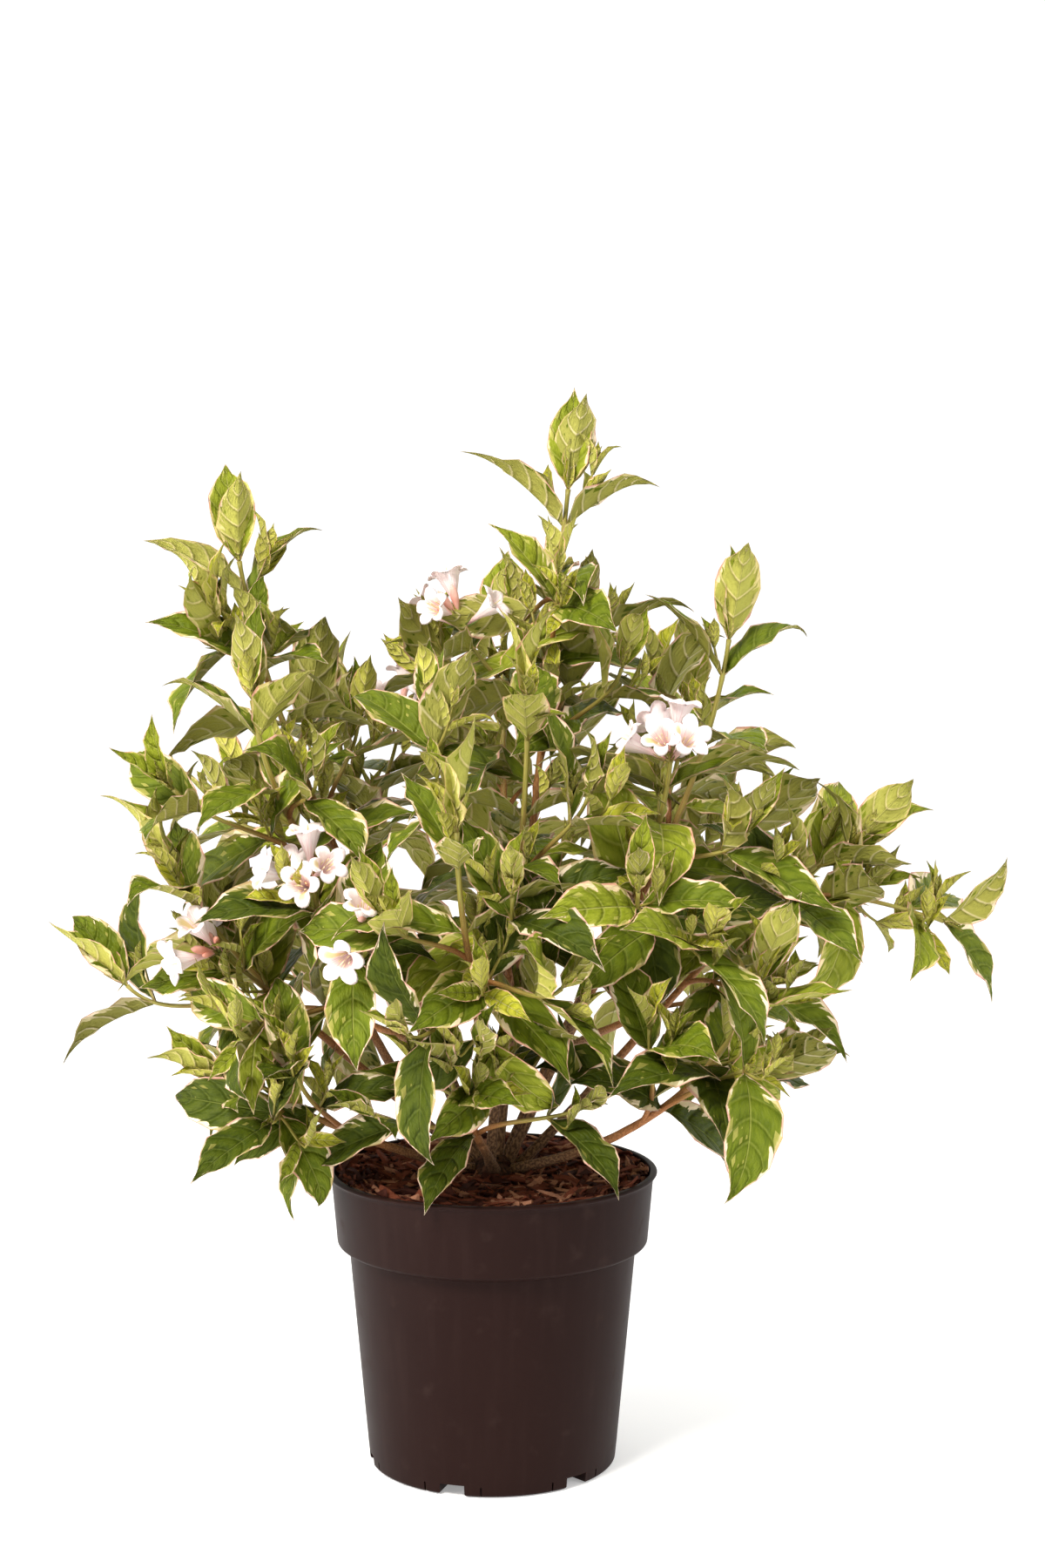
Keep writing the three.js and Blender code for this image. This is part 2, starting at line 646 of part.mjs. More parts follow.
// The leaf stands where it has room. Where its solid would touch another one there, it takes the next place.
const addLeaf = (name, mass, node, tangent, stage, drawn) => {
  const places = [];
  for (const [swing, tip] of SECOND_TRIES) {
    const sizes = { ...drawn, spread: drawn.spread + tip };
    const leaf = leafFrame(node, tangent, drawn.heading + swing, stage, sizes);
    const probes = leafProbes(leaf);
    const room = Math.min(
      nearest(probes, bladeProbes) / LEAF_SPACE, nearest(probes, twigProbes) / TWIG_SPACE, 1);
    places.push({ leaf, probes, room });
  }
  places.sort((one, other) => other.room - one.room);
  const free = places.find(({ leaf }) => (
    isClear(leafSolid(leaf, LEAF_NECK, GUARD)) && isClear(leafSolid(leaf), name)));
  if (free) {
    const solid = leafSolid(free.leaf);
    remember(name, solid);
    mass.solids.push(solid);
  }
  return places[0].probes;
};

const addFlowers = (name, mass, shoot, rule) => {
  const top = shoot.path.getPoint(1);
  const axis = shoot.path.getTangent(1);
  const u = squareTo(RIGHT, axis);
  const v = axis.clone().cross(u);
  for (let k = 0; k < shoot.flowers; k += 1) {
    const angle = radians(shoot.turn + (360 / shoot.flowers) * k + 40 * (rule() - 0.5));
    const lean = radians(k === 0 ? 8 : 48 + 26 * rule());
    const turn = Math.PI * rule();
    const outward = along(vector(0, 0, 0), u, Math.cos(angle), v, Math.sin(angle));
    const direction = along(vector(0, 0, 0), axis, Math.cos(lean), outward, Math.sin(lean)).normalize();
    const root = along(top, axis, -FLOWER_STALK * (k % 2));
    if (isClear(flowerSolid(root, direction, turn, GUARD), name)) {
      const solid = flowerSolid(root, direction, turn);
      remember(name, solid);
      mass.solids.push(solid);
    }
    bladeProbes.push(along(root, direction, FLOWER_LENGTH));
  }
};

// The pairs of every shoot are worked out first and set from the tips down, so the tips have first choice.
const pairs = [];
for (const [name, mass] of masses) {
  for (const shoot of mass.shoots) {
    const rule = seededRule(shoot.seed);
    const span = shoot.path.getLength();
    if (shoot.flowers) {
      addFlowers(name, mass, shoot, rule);
    }
    let below = shoot.flowers ? FLOWER_LIFT : 0;
    for (let order = 0; 1 - below / span > shoot.from; order += 1) {
      const leaves = [0, 180].map((half) => ({
        heading: shoot.turn + 90 * order + half + 24 * (rule() - 0.5),
        spread: 16 * (rule() - 0.5),
        arch: 20 * (rule() - 0.5),
        roll: 60 * (rule() - 0.5),
        scale: mass.leaf * (0.88 + 0.22 * rule()),
      }));
      const age = order === 0 ? shoot.age : Math.max(shoot.age + order, order + 1);
      const stage = LEAF_STAGES[Math.min(LEAF_STAGES.length - 1, age)];
      pairs.push({ name, mass, path: shoot.path, t: 1 - below / span, order, stage, leaves });
      below += order === 0 ? BUD_GAP : INTERNODE * (0.9 + 0.3 * rule());
    }
  }
}
pairs.sort((one, other) => one.order - other.order);
for (const { name, mass, path, t, stage, leaves } of pairs) {
  const node = path.getPoint(t);
  const tangent = path.getTangent(t);
  bladeProbes.push(...leaves.flatMap((leaf) => addLeaf(name, mass, node, tangent, stage, leaf)));
}

// ---------------------------------------------------------------- the whole plant
const finish = (color, roughness) => new THREE.MeshStandardMaterial({ color, roughness, metalness: 0 });
const group = new THREE.Group();
const addNode = (name, solid, material) => {
  const geometry = geometryOf(solid);
  geometry.computeVertexNormals();
  const mesh = new THREE.Mesh(geometry, material);
  mesh.name = name;
  group.add(mesh);
};

addNode('pot', potted, finish(0x3e322f, 0.45));
addNode('bark_mulch', mulch, finish(0x6e3c28, 0.95));
addNode('woody_stool', stool, finish(0x5f4530, 0.9));
for (const [name, bough] of boughs) {
  addNode(`bough_${name}`, bough, finish(0x82502f, 0.75));
}
const greens = [0x5f7d2d, 0x6d8a35, 0x567329];
[...masses].forEach(([name, mass], index) => {
  addNode(`foliage_${name}`, fuse(mass.solids), finish(greens[index % greens.length], 0.6));
});

export default group;
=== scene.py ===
# A potted variegated weigela: pot, bark mulch, woody stool, canes, leafy shoots, leaves and flowers.
import math

import bpy
import numpy as np
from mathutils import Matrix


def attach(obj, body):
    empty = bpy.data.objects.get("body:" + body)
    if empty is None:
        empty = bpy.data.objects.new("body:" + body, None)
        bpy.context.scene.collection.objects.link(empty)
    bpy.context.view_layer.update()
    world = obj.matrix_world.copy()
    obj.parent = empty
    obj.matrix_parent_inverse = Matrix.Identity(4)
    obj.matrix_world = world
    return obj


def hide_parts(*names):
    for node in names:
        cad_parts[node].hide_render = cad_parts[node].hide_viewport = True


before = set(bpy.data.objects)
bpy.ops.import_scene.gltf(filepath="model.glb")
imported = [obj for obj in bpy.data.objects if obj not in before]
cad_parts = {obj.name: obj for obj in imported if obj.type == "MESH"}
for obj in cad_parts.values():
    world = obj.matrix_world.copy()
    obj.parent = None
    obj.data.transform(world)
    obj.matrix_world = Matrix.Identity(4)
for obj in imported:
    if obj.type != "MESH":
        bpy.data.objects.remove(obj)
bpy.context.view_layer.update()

scene = bpy.context.scene

# ---------------------------------------------------------------- camera
# It stands a little right of the pot, level with the crown's upper half, and looks slightly down.
camera_data = bpy.data.cameras.new("camera")
camera_data.sensor_fit = "VERTICAL"
camera_data.sensor_height = 36
camera_data.lens = 58.24
camera = bpy.data.objects.new("camera", camera_data)
camera.location = (0.0204, -1.7, 0.598)
camera.rotation_euler = (math.pi / 2 - 0.08, 0, 0)
scene.collection.objects.link(camera)
scene.camera = camera

# ---------------------------------------------------------------- pot
# A five litre nursery container, injection moulded in dark brown-grey polypropylene: one thin wall with a
# beaded rim, a plain collar on a rounded shoulder, a tapering body and drain slots cut up into its foot.
POT_HEIGHT = 200
RIM_RADIUS, RIM_BEAD = 112, 3
COLLAR_TOP_RADIUS, COLLAR_FOOT_RADIUS, COLLAR_FOOT = 109.5, 105.6, 149
SHOULDER = 3.7  # height of the rounded shoulder under the collar
BODY_TOP_RADIUS, BODY_FOOT_RADIUS, FOOT_ROUND = 97.5, 84, 2.4
WALL, FLOOR = 2.2, 12
DRAIN_COUNT, DRAIN_WIDTH, DRAIN_HEIGHT, DRAIN_DEPTH, DRAIN_TURN = 6, 17, 7.5, 26, 252
SLIT_TURN, SLIT_WIDTH, SLIT_DEPTH, SEAM_DEPTH = 13.4, 1.2, 4.4, 1.6
POT_SIDES = 180
MM = 0.001


def new_mesh(name, points, *face_arrays):
    """A mesh from points in millimetres and arrays of faces, each array with its own number of corners."""
    mesh = bpy.data.meshes.new(name)
    points = np.asarray(points, float).reshape(-1, 3) * MM
    corners = np.concatenate([faces.ravel() for faces in face_arrays])
    sizes = np.concatenate([np.full(len(faces), faces.shape[1]) for faces in face_arrays])
    mesh.vertices.add(len(points))
    mesh.vertices.foreach_set("co", points.ravel().astype(np.float32))
    mesh.loops.add(len(corners))
    mesh.loops.foreach_set("vertex_index", corners.astype(np.int32))
    mesh.polygons.add(len(sizes))
    mesh.polygons.foreach_set("loop_start", (np.cumsum(sizes) - sizes).astype(np.int32))
    mesh.update(calc_edges=True)
    mesh.shade_smooth()
    return mesh


def new_piece(mesh, replaced=(), materials=()):
    """The object of a finished mesh: it rides on the plant's one body and may stand for CAD nodes."""
    piece = bpy.data.objects.new(mesh.name, mesh)
    scene.collection.objects.link(piece)
    for material in materials:
        mesh.materials.append(material)
    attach(piece, "root")
    if replaced:
        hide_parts(*replaced)
    return piece


def grid_faces(rows, columns, wrapped=False, first=0):
    """Quads over a grid of points counted row by row; a wrapped grid joins its last column to its first."""
    row, column = np.indices((rows - 1, columns if wrapped else columns - 1))
    after = (column + 1) % columns
    quads = np.stack([row * columns + column, row * columns + after,
                      (row + 1) * columns + after, (row + 1) * columns + column], axis=-1)
    return quads.reshape(-1, 4) + first


def closed_faces(rings, sides, first=0):
    """Quads round a shape made of rings, and the triangles that close it at two points, which are counted
    after the rings."""
    now = first + np.arange(sides)
    after = first + (np.arange(sides) + 1) % sides
    start, last = np.full(sides, first + rings * sides), (rings - 1) * sides
    foot = np.stack([start, after, now], 1)
    head = np.stack([start + 1, last + now, last + after], 1)
    return grid_faces(rings, sides, wrapped=True, first=first), np.concatenate([foot, head])


def steps_round(sides):
    return np.linspace(0, 2 * np.pi, sides, endpoint=False)


def turned(name, profile, sides, relief=None):
    """Each point (radius, height) of a profile goes round the axis: x = r cos a, y = r sin a. The first and
    last points are on the axis and close the shape. relief adds to the radius, as a function of angle and
    height."""
    profile = np.asarray(profile, float)
    angle = steps_round(sides)
    radius, height = profile[1:-1, :1], profile[1:-1, 1:]
    radius = radius + (relief(angle, height) if relief else 0 * angle)
    ring = np.stack([radius * np.cos(angle), radius * np.sin(angle), height + 0 * angle], axis=-1)
    poles = [[0, 0, profile[0, 1]], [0, 0, profile[-1, 1]]]
    points = np.concatenate([ring.reshape(-1, 3), poles])
    return new_mesh(name, points, *closed_faces(len(profile) - 2, sides))


def arc(centre, radii, start, end, count):
    """Points on an ellipse round a centre (radius, height), from one angle in degrees to another."""
    angle = np.radians(np.linspace(start, end, count))
    return np.stack([centre[0] + radii[0] * np.cos(angle), centre[1] + radii[1] * np.sin(angle)], 1)


def pot_profile():
    """From the middle of the underside up the outside, over the rim and down inside to the floor."""
    inner_collar = COLLAR_FOOT_RADIUS - WALL
    return np.concatenate([
        [(0, 0), (BODY_FOOT_RADIUS - FOOT_ROUND - 2, 0)],
        arc((BODY_FOOT_RADIUS - FOOT_ROUND, FOOT_ROUND), (FOOT_ROUND, FOOT_ROUND), -90, 0, 7),
        [(BODY_FOOT_RADIUS + 1.2, 14), (BODY_TOP_RADIUS - 0.2, COLLAR_FOOT - 3.5)],
        [(BODY_TOP_RADIUS, COLLAR_FOOT - 1.2), (BODY_TOP_RADIUS + 0.9, COLLAR_FOOT - 0.6)],
        arc((BODY_TOP_RADIUS + 1, COLLAR_FOOT + SHOULDER),
            (COLLAR_FOOT_RADIUS - BODY_TOP_RADIUS - 1, SHOULDER), -84, 0, 8),
        [(COLLAR_TOP_RADIUS - 0.2, POT_HEIGHT - RIM_BEAD - 2.5)],
        [(COLLAR_TOP_RADIUS, POT_HEIGHT - RIM_BEAD - 1)],
        arc((RIM_RADIUS - 2.4, POT_HEIGHT - RIM_BEAD / 2), (2.4, RIM_BEAD / 2), -75, 90, 9),
        arc((COLLAR_TOP_RADIUS - WALL + 1, POT_HEIGHT - 1), (1, 1), 90, 180, 4),
        [(COLLAR_TOP_RADIUS - WALL, POT_HEIGHT - 4), (inner_collar, COLLAR_FOOT + SHOULDER + 1)],
        [(BODY_TOP_RADIUS - WALL, COLLAR_FOOT + 1), (BODY_FOOT_RADIUS - WALL + 0.4, FLOOR), (0, FLOOR)],
    ])


def cut_drains(pot):
    """The slots: blocks set evenly round the foot are taken out of the pot, each with its lower corners
    rounded outwards. Beside each slot, a fine slit is cut on one side and a shallow seam on the other."""
    half, flare = DRAIN_WIDTH / 2, arc((DRAIN_WIDTH / 2 + 2, 2), (2, 2), 270, 180, 5)
    slot = np.concatenate([[(half + 2, -2)], flare, [(half, DRAIN_HEIGHT)]])
    slot = np.concatenate([slot, slot[::-1] * (-1, 1)])
    slit = np.array([(0.5, -2), (0.5, DRAIN_HEIGHT * 0.9), (-0.5, DRAIN_HEIGHT * 0.9), (-0.5, -2)])
    slit = slit * (SLIT_WIDTH, 1)
    blocks = ((0, slot, DRAIN_DEPTH), (-SLIT_TURN, slit, SLIT_DEPTH), (SLIT_TURN, slit, SEAM_DEPTH))
    corners, faces, first = [], [], 0
    for count in range(DRAIN_COUNT):
        for turn, outline, depth in blocks:
            angle, size = math.radians(DRAIN_TURN + 360 / DRAIN_COUNT * count + turn), len(outline)
            out = np.array([math.cos(angle), math.sin(angle), 0])
            across = np.array([-math.sin(angle), math.cos(angle), 0])
            face = outline[:, :1] * across + outline[:, 1:] * (0, 0, 1)
            for reach in (BODY_FOOT_RADIUS - depth, BODY_FOOT_RADIUS + DRAIN_DEPTH):
                corners.append(face + out * reach)
            now = np.arange(size)
            after = (now + 1) % size
            faces.append(np.stack([now, after, after + size, now + size], 1) + first)
            faces.append((now[::-1] + first)[None])
            faces.append((now + size + first)[None])
            first += 2 * size
    cutter = bpy.data.objects.new("drain_blocks", new_mesh("drain_blocks", np.concatenate(corners), *faces))
    scene.collection.objects.link(cutter)
    cut = pot.modifiers.new("drains", "BOOLEAN")
    cut.object, cut.operation, cut.solver = cutter, "DIFFERENCE", "EXACT"
    bpy.context.view_layer.update()
    cut_mesh = bpy.data.meshes.new_from_object(pot.evaluated_get(bpy.context.evaluated_depsgraph_get()))
    pot.modifiers.clear()
    pot.data = cut_mesh
    pot.data.name = pot.name
    bpy.data.objects.remove(cutter)
    pot.data.shade_smooth()
    pot.data.set_sharp_from_angle(angle=math.radians(32))


def paint(red, green, blue):
    """A colour given as it looks on screen, from 0 to 255, as the linear colour that shaders take."""
    share = np.array([red, green, blue]) / 255
    linear = np.where(share < 0.04045, share / 12.92, ((share + 0.055) / 1.055) ** 2.4)
    return (*linear.tolist(), 1)


def add_node(tree, kind, inputs=None, **settings):
    """A shader node. Each input is set to a number or colour, or is linked to another node's socket."""
    made = tree.nodes.new("ShaderNode" + kind)
    for name, value in settings.items():
        setattr(made, name, value)
    for socket, value in (inputs or {}).items():
        if isinstance(value, Field):
            value = value.socket
        if isinstance(value, bpy.types.NodeSocket):
            tree.links.new(value, made.inputs[socket])
        else:
            made.inputs[socket].default_value = value
    return made


class Field:
    """A number that varies over a surface: arithmetic on it adds the maths nodes to its shader tree."""

    def __init__(self, tree, socket):
        self.tree, self.socket = tree, socket

    def with_(self, operation, *others):
        values = dict(enumerate((self, *others)))
        return Field(self.tree, add_node(self.tree, "Math", values, operation=operation).outputs[0])

    def __add__(self, other):
        return self.with_("ADD", other)

    def __sub__(self, other):
        return self.with_("SUBTRACT", other)

    def __mul__(self, other):
        return self.with_("MULTIPLY", other)

    def __truediv__(self, other):
        return self.with_("DIVIDE", other)

    __radd__, __rmul__ = __add__, __mul__

    def __rsub__(self, other):
        return self * -1 + other

    def __rtruediv__(self, other):
        return self.with_("POWER", -1.0) * other

    def above(self, low, high):
        """0 below low, 1 above high, and a smooth step between them."""
        step = add_node(self.tree, "MapRange", {0: self, 1: low, 2: high}, interpolation_type="SMOOTHSTEP")
        return Field(self.tree, step.outputs[0])


def noise(tree, scale, detail=2, place=None, stretch=None):
    """Smooth noise, about 0.5 in the middle, on Object coordinates unless it is given others. stretch crowds
    it by a factor along each axis."""
    place = place or add_node(tree, "TexCoord").outputs["Object"]
    if stretch:
        place = add_node(tree, "Mapping", {"Vector": place, "Scale": stretch}).outputs[0]
    made = add_node(tree, "TexNoise", {"Vector": place, "Scale": scale, "Detail": detail})
    return Field(tree, made.outputs["Fac"])


def mixed(tree, share, first, second):
    """The first colour where the share is 0, the second where it is 1."""
    return add_node(tree, "Mix", {0: share, 6: first, 7: second}, data_type="RGBA").outputs[2]


def new_material(name, roughness, specular=0.5):
    material = bpy.data.materials.new(name)
    material.use_nodes = True
    shader = material.node_tree.nodes["Principled BSDF"]
    shader.inputs["Roughness"].default_value = roughness
    shader.inputs["Specular IOR Level"].default_value = specular
    return material, material.node_tree, shader


def finished(material, base, relief=None, depth=0.0, strength=1.0):
    """Gives a material its colour and, from a height field, relief too fine for the mesh, in metres."""
    tree = material.node_tree
    shader = tree.nodes["Principled BSDF"]
    tree.links.new(base, shader.inputs["Base Color"])
    if relief:
        bump = add_node(tree, "Bump", {"Height": relief, "Distance": depth, "Strength": strength})
        tree.links.new(bump.outputs[0], shader.inputs["Normal"])
    return material


def pot_plastic():
    """Satin moulded plastic: a brown-grey that clouds a little, fine grain, and faint dust and scuffs."""
    material, tree, shader = new_material("pot_plastic", 0.5, 0.06)
    clouds = noise(tree, 9, 3)
    dust = noise(tree, 60, 5).above(0.58, 0.8)
    drawn = noise(tree, 4, 3, stretch=(30, 30, 2))
    base = mixed(tree, clouds, paint(29, 15, 13), paint(37, 21, 18))
    base = mixed(tree, drawn.above(0.45, 0.8) * 0.2, base, paint(48, 33, 30))
    base = mixed(tree, dust * 0.12, base, paint(84, 68, 62))
    tree.links.new((0.42 + 0.1 * noise(tree, 25, 4) + 0.12 * dust).socket, shader.inputs["Roughness"])
    return finished(material, base, noise(tree, 1400, 2) * 0.5 + drawn * 0.8, 0.00006, 0.6)


pot_piece = new_piece(turned("nursery_pot", pot_profile(), POT_SIDES), ["pot"])
cut_drains(pot_piece)
pot_piece.data.materials.append(pot_plastic())

# ---------------------------------------------------------------- root ball and bark mulch
# The root ball fills the pot. On it lies coarse softwood bark: split slabs and splinters of red-brown bark
# with paler broken faces, thrown on loose, a little higher against the wall.
BED_HEIGHT, BED_RADIUS = 194.8, 105.5
CHIP_COUNT = 3400
CHIP_SORTS = {  # the share of all chips, and the colours of the furrows and of the fibres
    "bark_chips_red": (0.5, (84, 40, 28), (160, 90, 64)),
    "bark_chips_tan": (0.22, (146, 92, 66), (216, 158, 126)),
    "bark_chips_dark": (0.28, (40, 20, 15), (92, 48, 36)),
}


def copies(faces, count, corners):
    """The faces of many like shapes, whose points follow each other with the same number of corners each."""
    return (faces + corners * np.arange(count)[:, None, None]).reshape(-1, faces.shape[1])


def inset(share):
    """Places on a flat map that keep clear of its edges."""
    return 0.02 + 0.96 * share


def set_map(mesh, flat):
    """Lays a mesh out flat, with a place from 0 to 1 for each corner of each face."""
    mesh.uv_layers.new(name="OFBake").data.foreach_set("uv", flat.ravel().astype(np.float32))


def map_place(tree):
    return add_node(tree, "UVMap", uv_map="OFBake").outputs[0]


def bark_soil():
    material, tree, _ = new_material("bark_soil", 0.95, 0.1)
    crumbs = noise(tree, 260, 6)
    base = mixed(tree, crumbs.above(0.35, 0.7), paint(32, 14, 11), paint(84, 40, 30))
    return finished(material, base, crumbs, 0.002)


def chip_bark(name, dark, light):
    """Broken bark: fibres that run along every chip, darker furrows and paler torn fibres."""
    material, tree, _ = new_material(name, 0.88, 0.1)
    place = map_place(tree)
    fibres = noise(tree, 1, 5, place, (14, 160, 1))
    flakes = noise(tree, 30, 4, place)
    base = mixed(tree, fibres.above(0.3, 0.7), paint(*dark), paint(*light))
    base = mixed(tree, flakes.above(0.55, 0.75) * 0.6, base, paint(48, 20, 15))
    return finished(material, base, fibres + flakes * 0.5, 0.0009)


def scatter_chips(count, rng):
    """Each chip is a bar of 4 cross-sections, bent along its length and ragged at its ends, laid nearly flat.
    Its corners are centre + along * l + across * w + up * h, with the three directions turned at random."""
    reach = BED_RADIUS * np.sqrt(rng.uniform(0, 1, count))
    turn = rng.uniform(0, 2 * np.pi, count)
    wall = np.clip((reach - 80) / 25, 0, 1)
    centre = np.stack([reach * np.cos(turn), reach * np.sin(turn),
                       BED_HEIGHT + rng.uniform(0.2, 4, count) + wall * 0.6], 1)
    small = rng.uniform(0, 1, count) ** 1.8
    length = 5 + 25 * small
    width = length * rng.uniform(0.07, 0.24, count) + 0.8
    height = np.minimum(width * rng.uniform(0.18, 0.5, count), 3.4)
    # A chip near the wall lies round the pot rather than across it.
    heading = np.where(wall > 0.3, turn + np.pi / 2 + rng.normal(0, 0.35, count),
                       rng.uniform(0, 2 * np.pi, count))
    pitch, roll = rng.normal(0, 0.2, count), rng.normal(0, 0.5, count)
    ahead = np.stack([np.cos(heading) * np.cos(pitch), np.sin(heading) * np.cos(pitch), np.sin(pitch)], 1)
    level = np.stack([-np.sin(heading), np.cos(heading), 0 * heading], 1)
    above = np.cross(ahead, level)
    side = level * np.cos(roll)[:, None] + above * np.sin(roll)[:, None]
    top = np.cross(ahead, side)
    stations = np.linspace(-0.5, 0.5, 4)[None, :, None]
    taper = rng.uniform(0.45, 1.0, (count, 4, 1))
    square = np.array([(-0.5, -0.5), (0.5, -0.5), (0.5, 0.5), (-0.5, 0.5)])[None, None]
    ragged = rng.uniform(-0.12, 0.12, (count, 4, 4))
    along = (stations + ragged) * length[:, None, None]
    across = square[..., 0] * taper * width[:, None, None]
    lift = square[..., 1] * taper * height[:, None, None]
    bow = rng.uniform(-0.09, 0.09, (count, 1, 1)) * length[:, None, None] * (1 - 4 * stations**2)
    points = (centre[:, None, None] + ahead[:, None, None] * along[..., None]
              + side[:, None, None] * (across + bow)[..., None]
              + top[:, None, None] * (lift + bow)[..., None])
    over = np.hypot(points[..., 0], points[..., 1]) / (BED_RADIUS + 0.8)
    points[..., :2] /= np.maximum(over, 1)[..., None]
    return points


def chip_pieces():
    """One piece for each sort. The chips share one small map: along the chip, and round it."""
    rng = np.random.default_rng(11)
    bar = np.concatenate([grid_faces(4, 4, wrapped=True)[:, ::-1], [(0, 1, 2, 3), (15, 14, 13, 12)]])
    station, corner = np.divmod(np.arange(16), 4)
    flat = np.stack([station / 3 * 0.9 + 0.05, corner / 3 * 0.9 + 0.05], 1)
    for name, (share, dark, light) in CHIP_SORTS.items():
        count = int(CHIP_COUNT * share)
        mesh = new_mesh(name, scatter_chips(count, rng), copies(bar, count, 16))
        mesh.set_sharp_from_angle(angle=math.radians(40))
        set_map(mesh, np.tile(flat[bar], (count, 1, 1)))
        new_piece(mesh, materials=[chip_bark(name, dark, light)])


mulch_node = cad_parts["bark_mulch"]
mulch_node.data.materials.clear()
mulch_node.data.materials.append(bark_soil())
chip_pieces()

# ---------------------------------------------------------------- woody stool
# The old wood at the plant's foot: a low knuckle of grey-brown bark, flared over the bark chips, that years
# of cutting back have left knobbed and ridged.
MULCH_CROWN, STOOL_RADIUS, STOOL_HEIGHT = 196, 27, 12


def stool_relief(angle, height):
    """Five rounded buttresses that fade upwards, with finer knobs between them."""
    up = np.clip((height - MULCH_CROWN) / STOOL_HEIGHT, 0, 1)
    buttress = 2.6 * np.cos(5 * angle + 3 * up + 0.6) * (1 - up)
    return buttress + 0.9 * np.sin(11 * angle + 0.5 * height) + 0.6 * np.sin(17 * angle - 0.8 * height)


def wood_bark():
    """Old bark: vertical cracks and flaking ridges, grey-brown with red-brown beneath, both darkened as
    painted shade.
    """
    material, tree, _ = new_material("old_bark", 0.92, 0.2)
    ridges = noise(tree, 1, 5, stretch=(420, 420, 90))
    # Both colours are darker than the bark itself: painted shade for the shadow under the crown.
    base = mixed(tree, ridges.above(0.35, 0.65), paint(34, 20, 15), paint(86, 56, 42))
    return finished(material, base, ridges, 0.0015)


steps_up = np.linspace(0, 1, 12)
stool_profile = np.concatenate([
    [(0, MULCH_CROWN - 3), (STOOL_RADIUS, MULCH_CROWN - 3)],
    np.stack([STOOL_RADIUS * (1 - 0.72 * steps_up**0.8), MULCH_CROWN + STOOL_HEIGHT * steps_up], 1),
    [(0, MULCH_CROWN + STOOL_HEIGHT + 0.5)],
])
new_piece(turned("stool", stool_profile, 60, stool_relief), ["woody_stool"], [wood_bark()])

# ---------------------------------------------------------------- canes
# Slender canes lean out of the stool and divide low down. Their bark is grey-brown and cracked at the foot,
# then red-brown, and turns to a smooth olive green in the leafy part.
CANE_FOOT_HEIGHT, CANE_FOOT_RADIUS, CANE_TIP_RADIUS = 201, 4, 1.5
OVERLAP = 0.002  # of a cane's length, by which its bare and its leafy part run into each other


def side(at, tip, rise, turn, age=0, flowers=0):
    """A side shoot: how far up its cane it leaves, and then what the names in CROWN mean."""
    return dict(at=at, tip=tip, rise=rise, turn=turn, age=age, flowers=flowers)


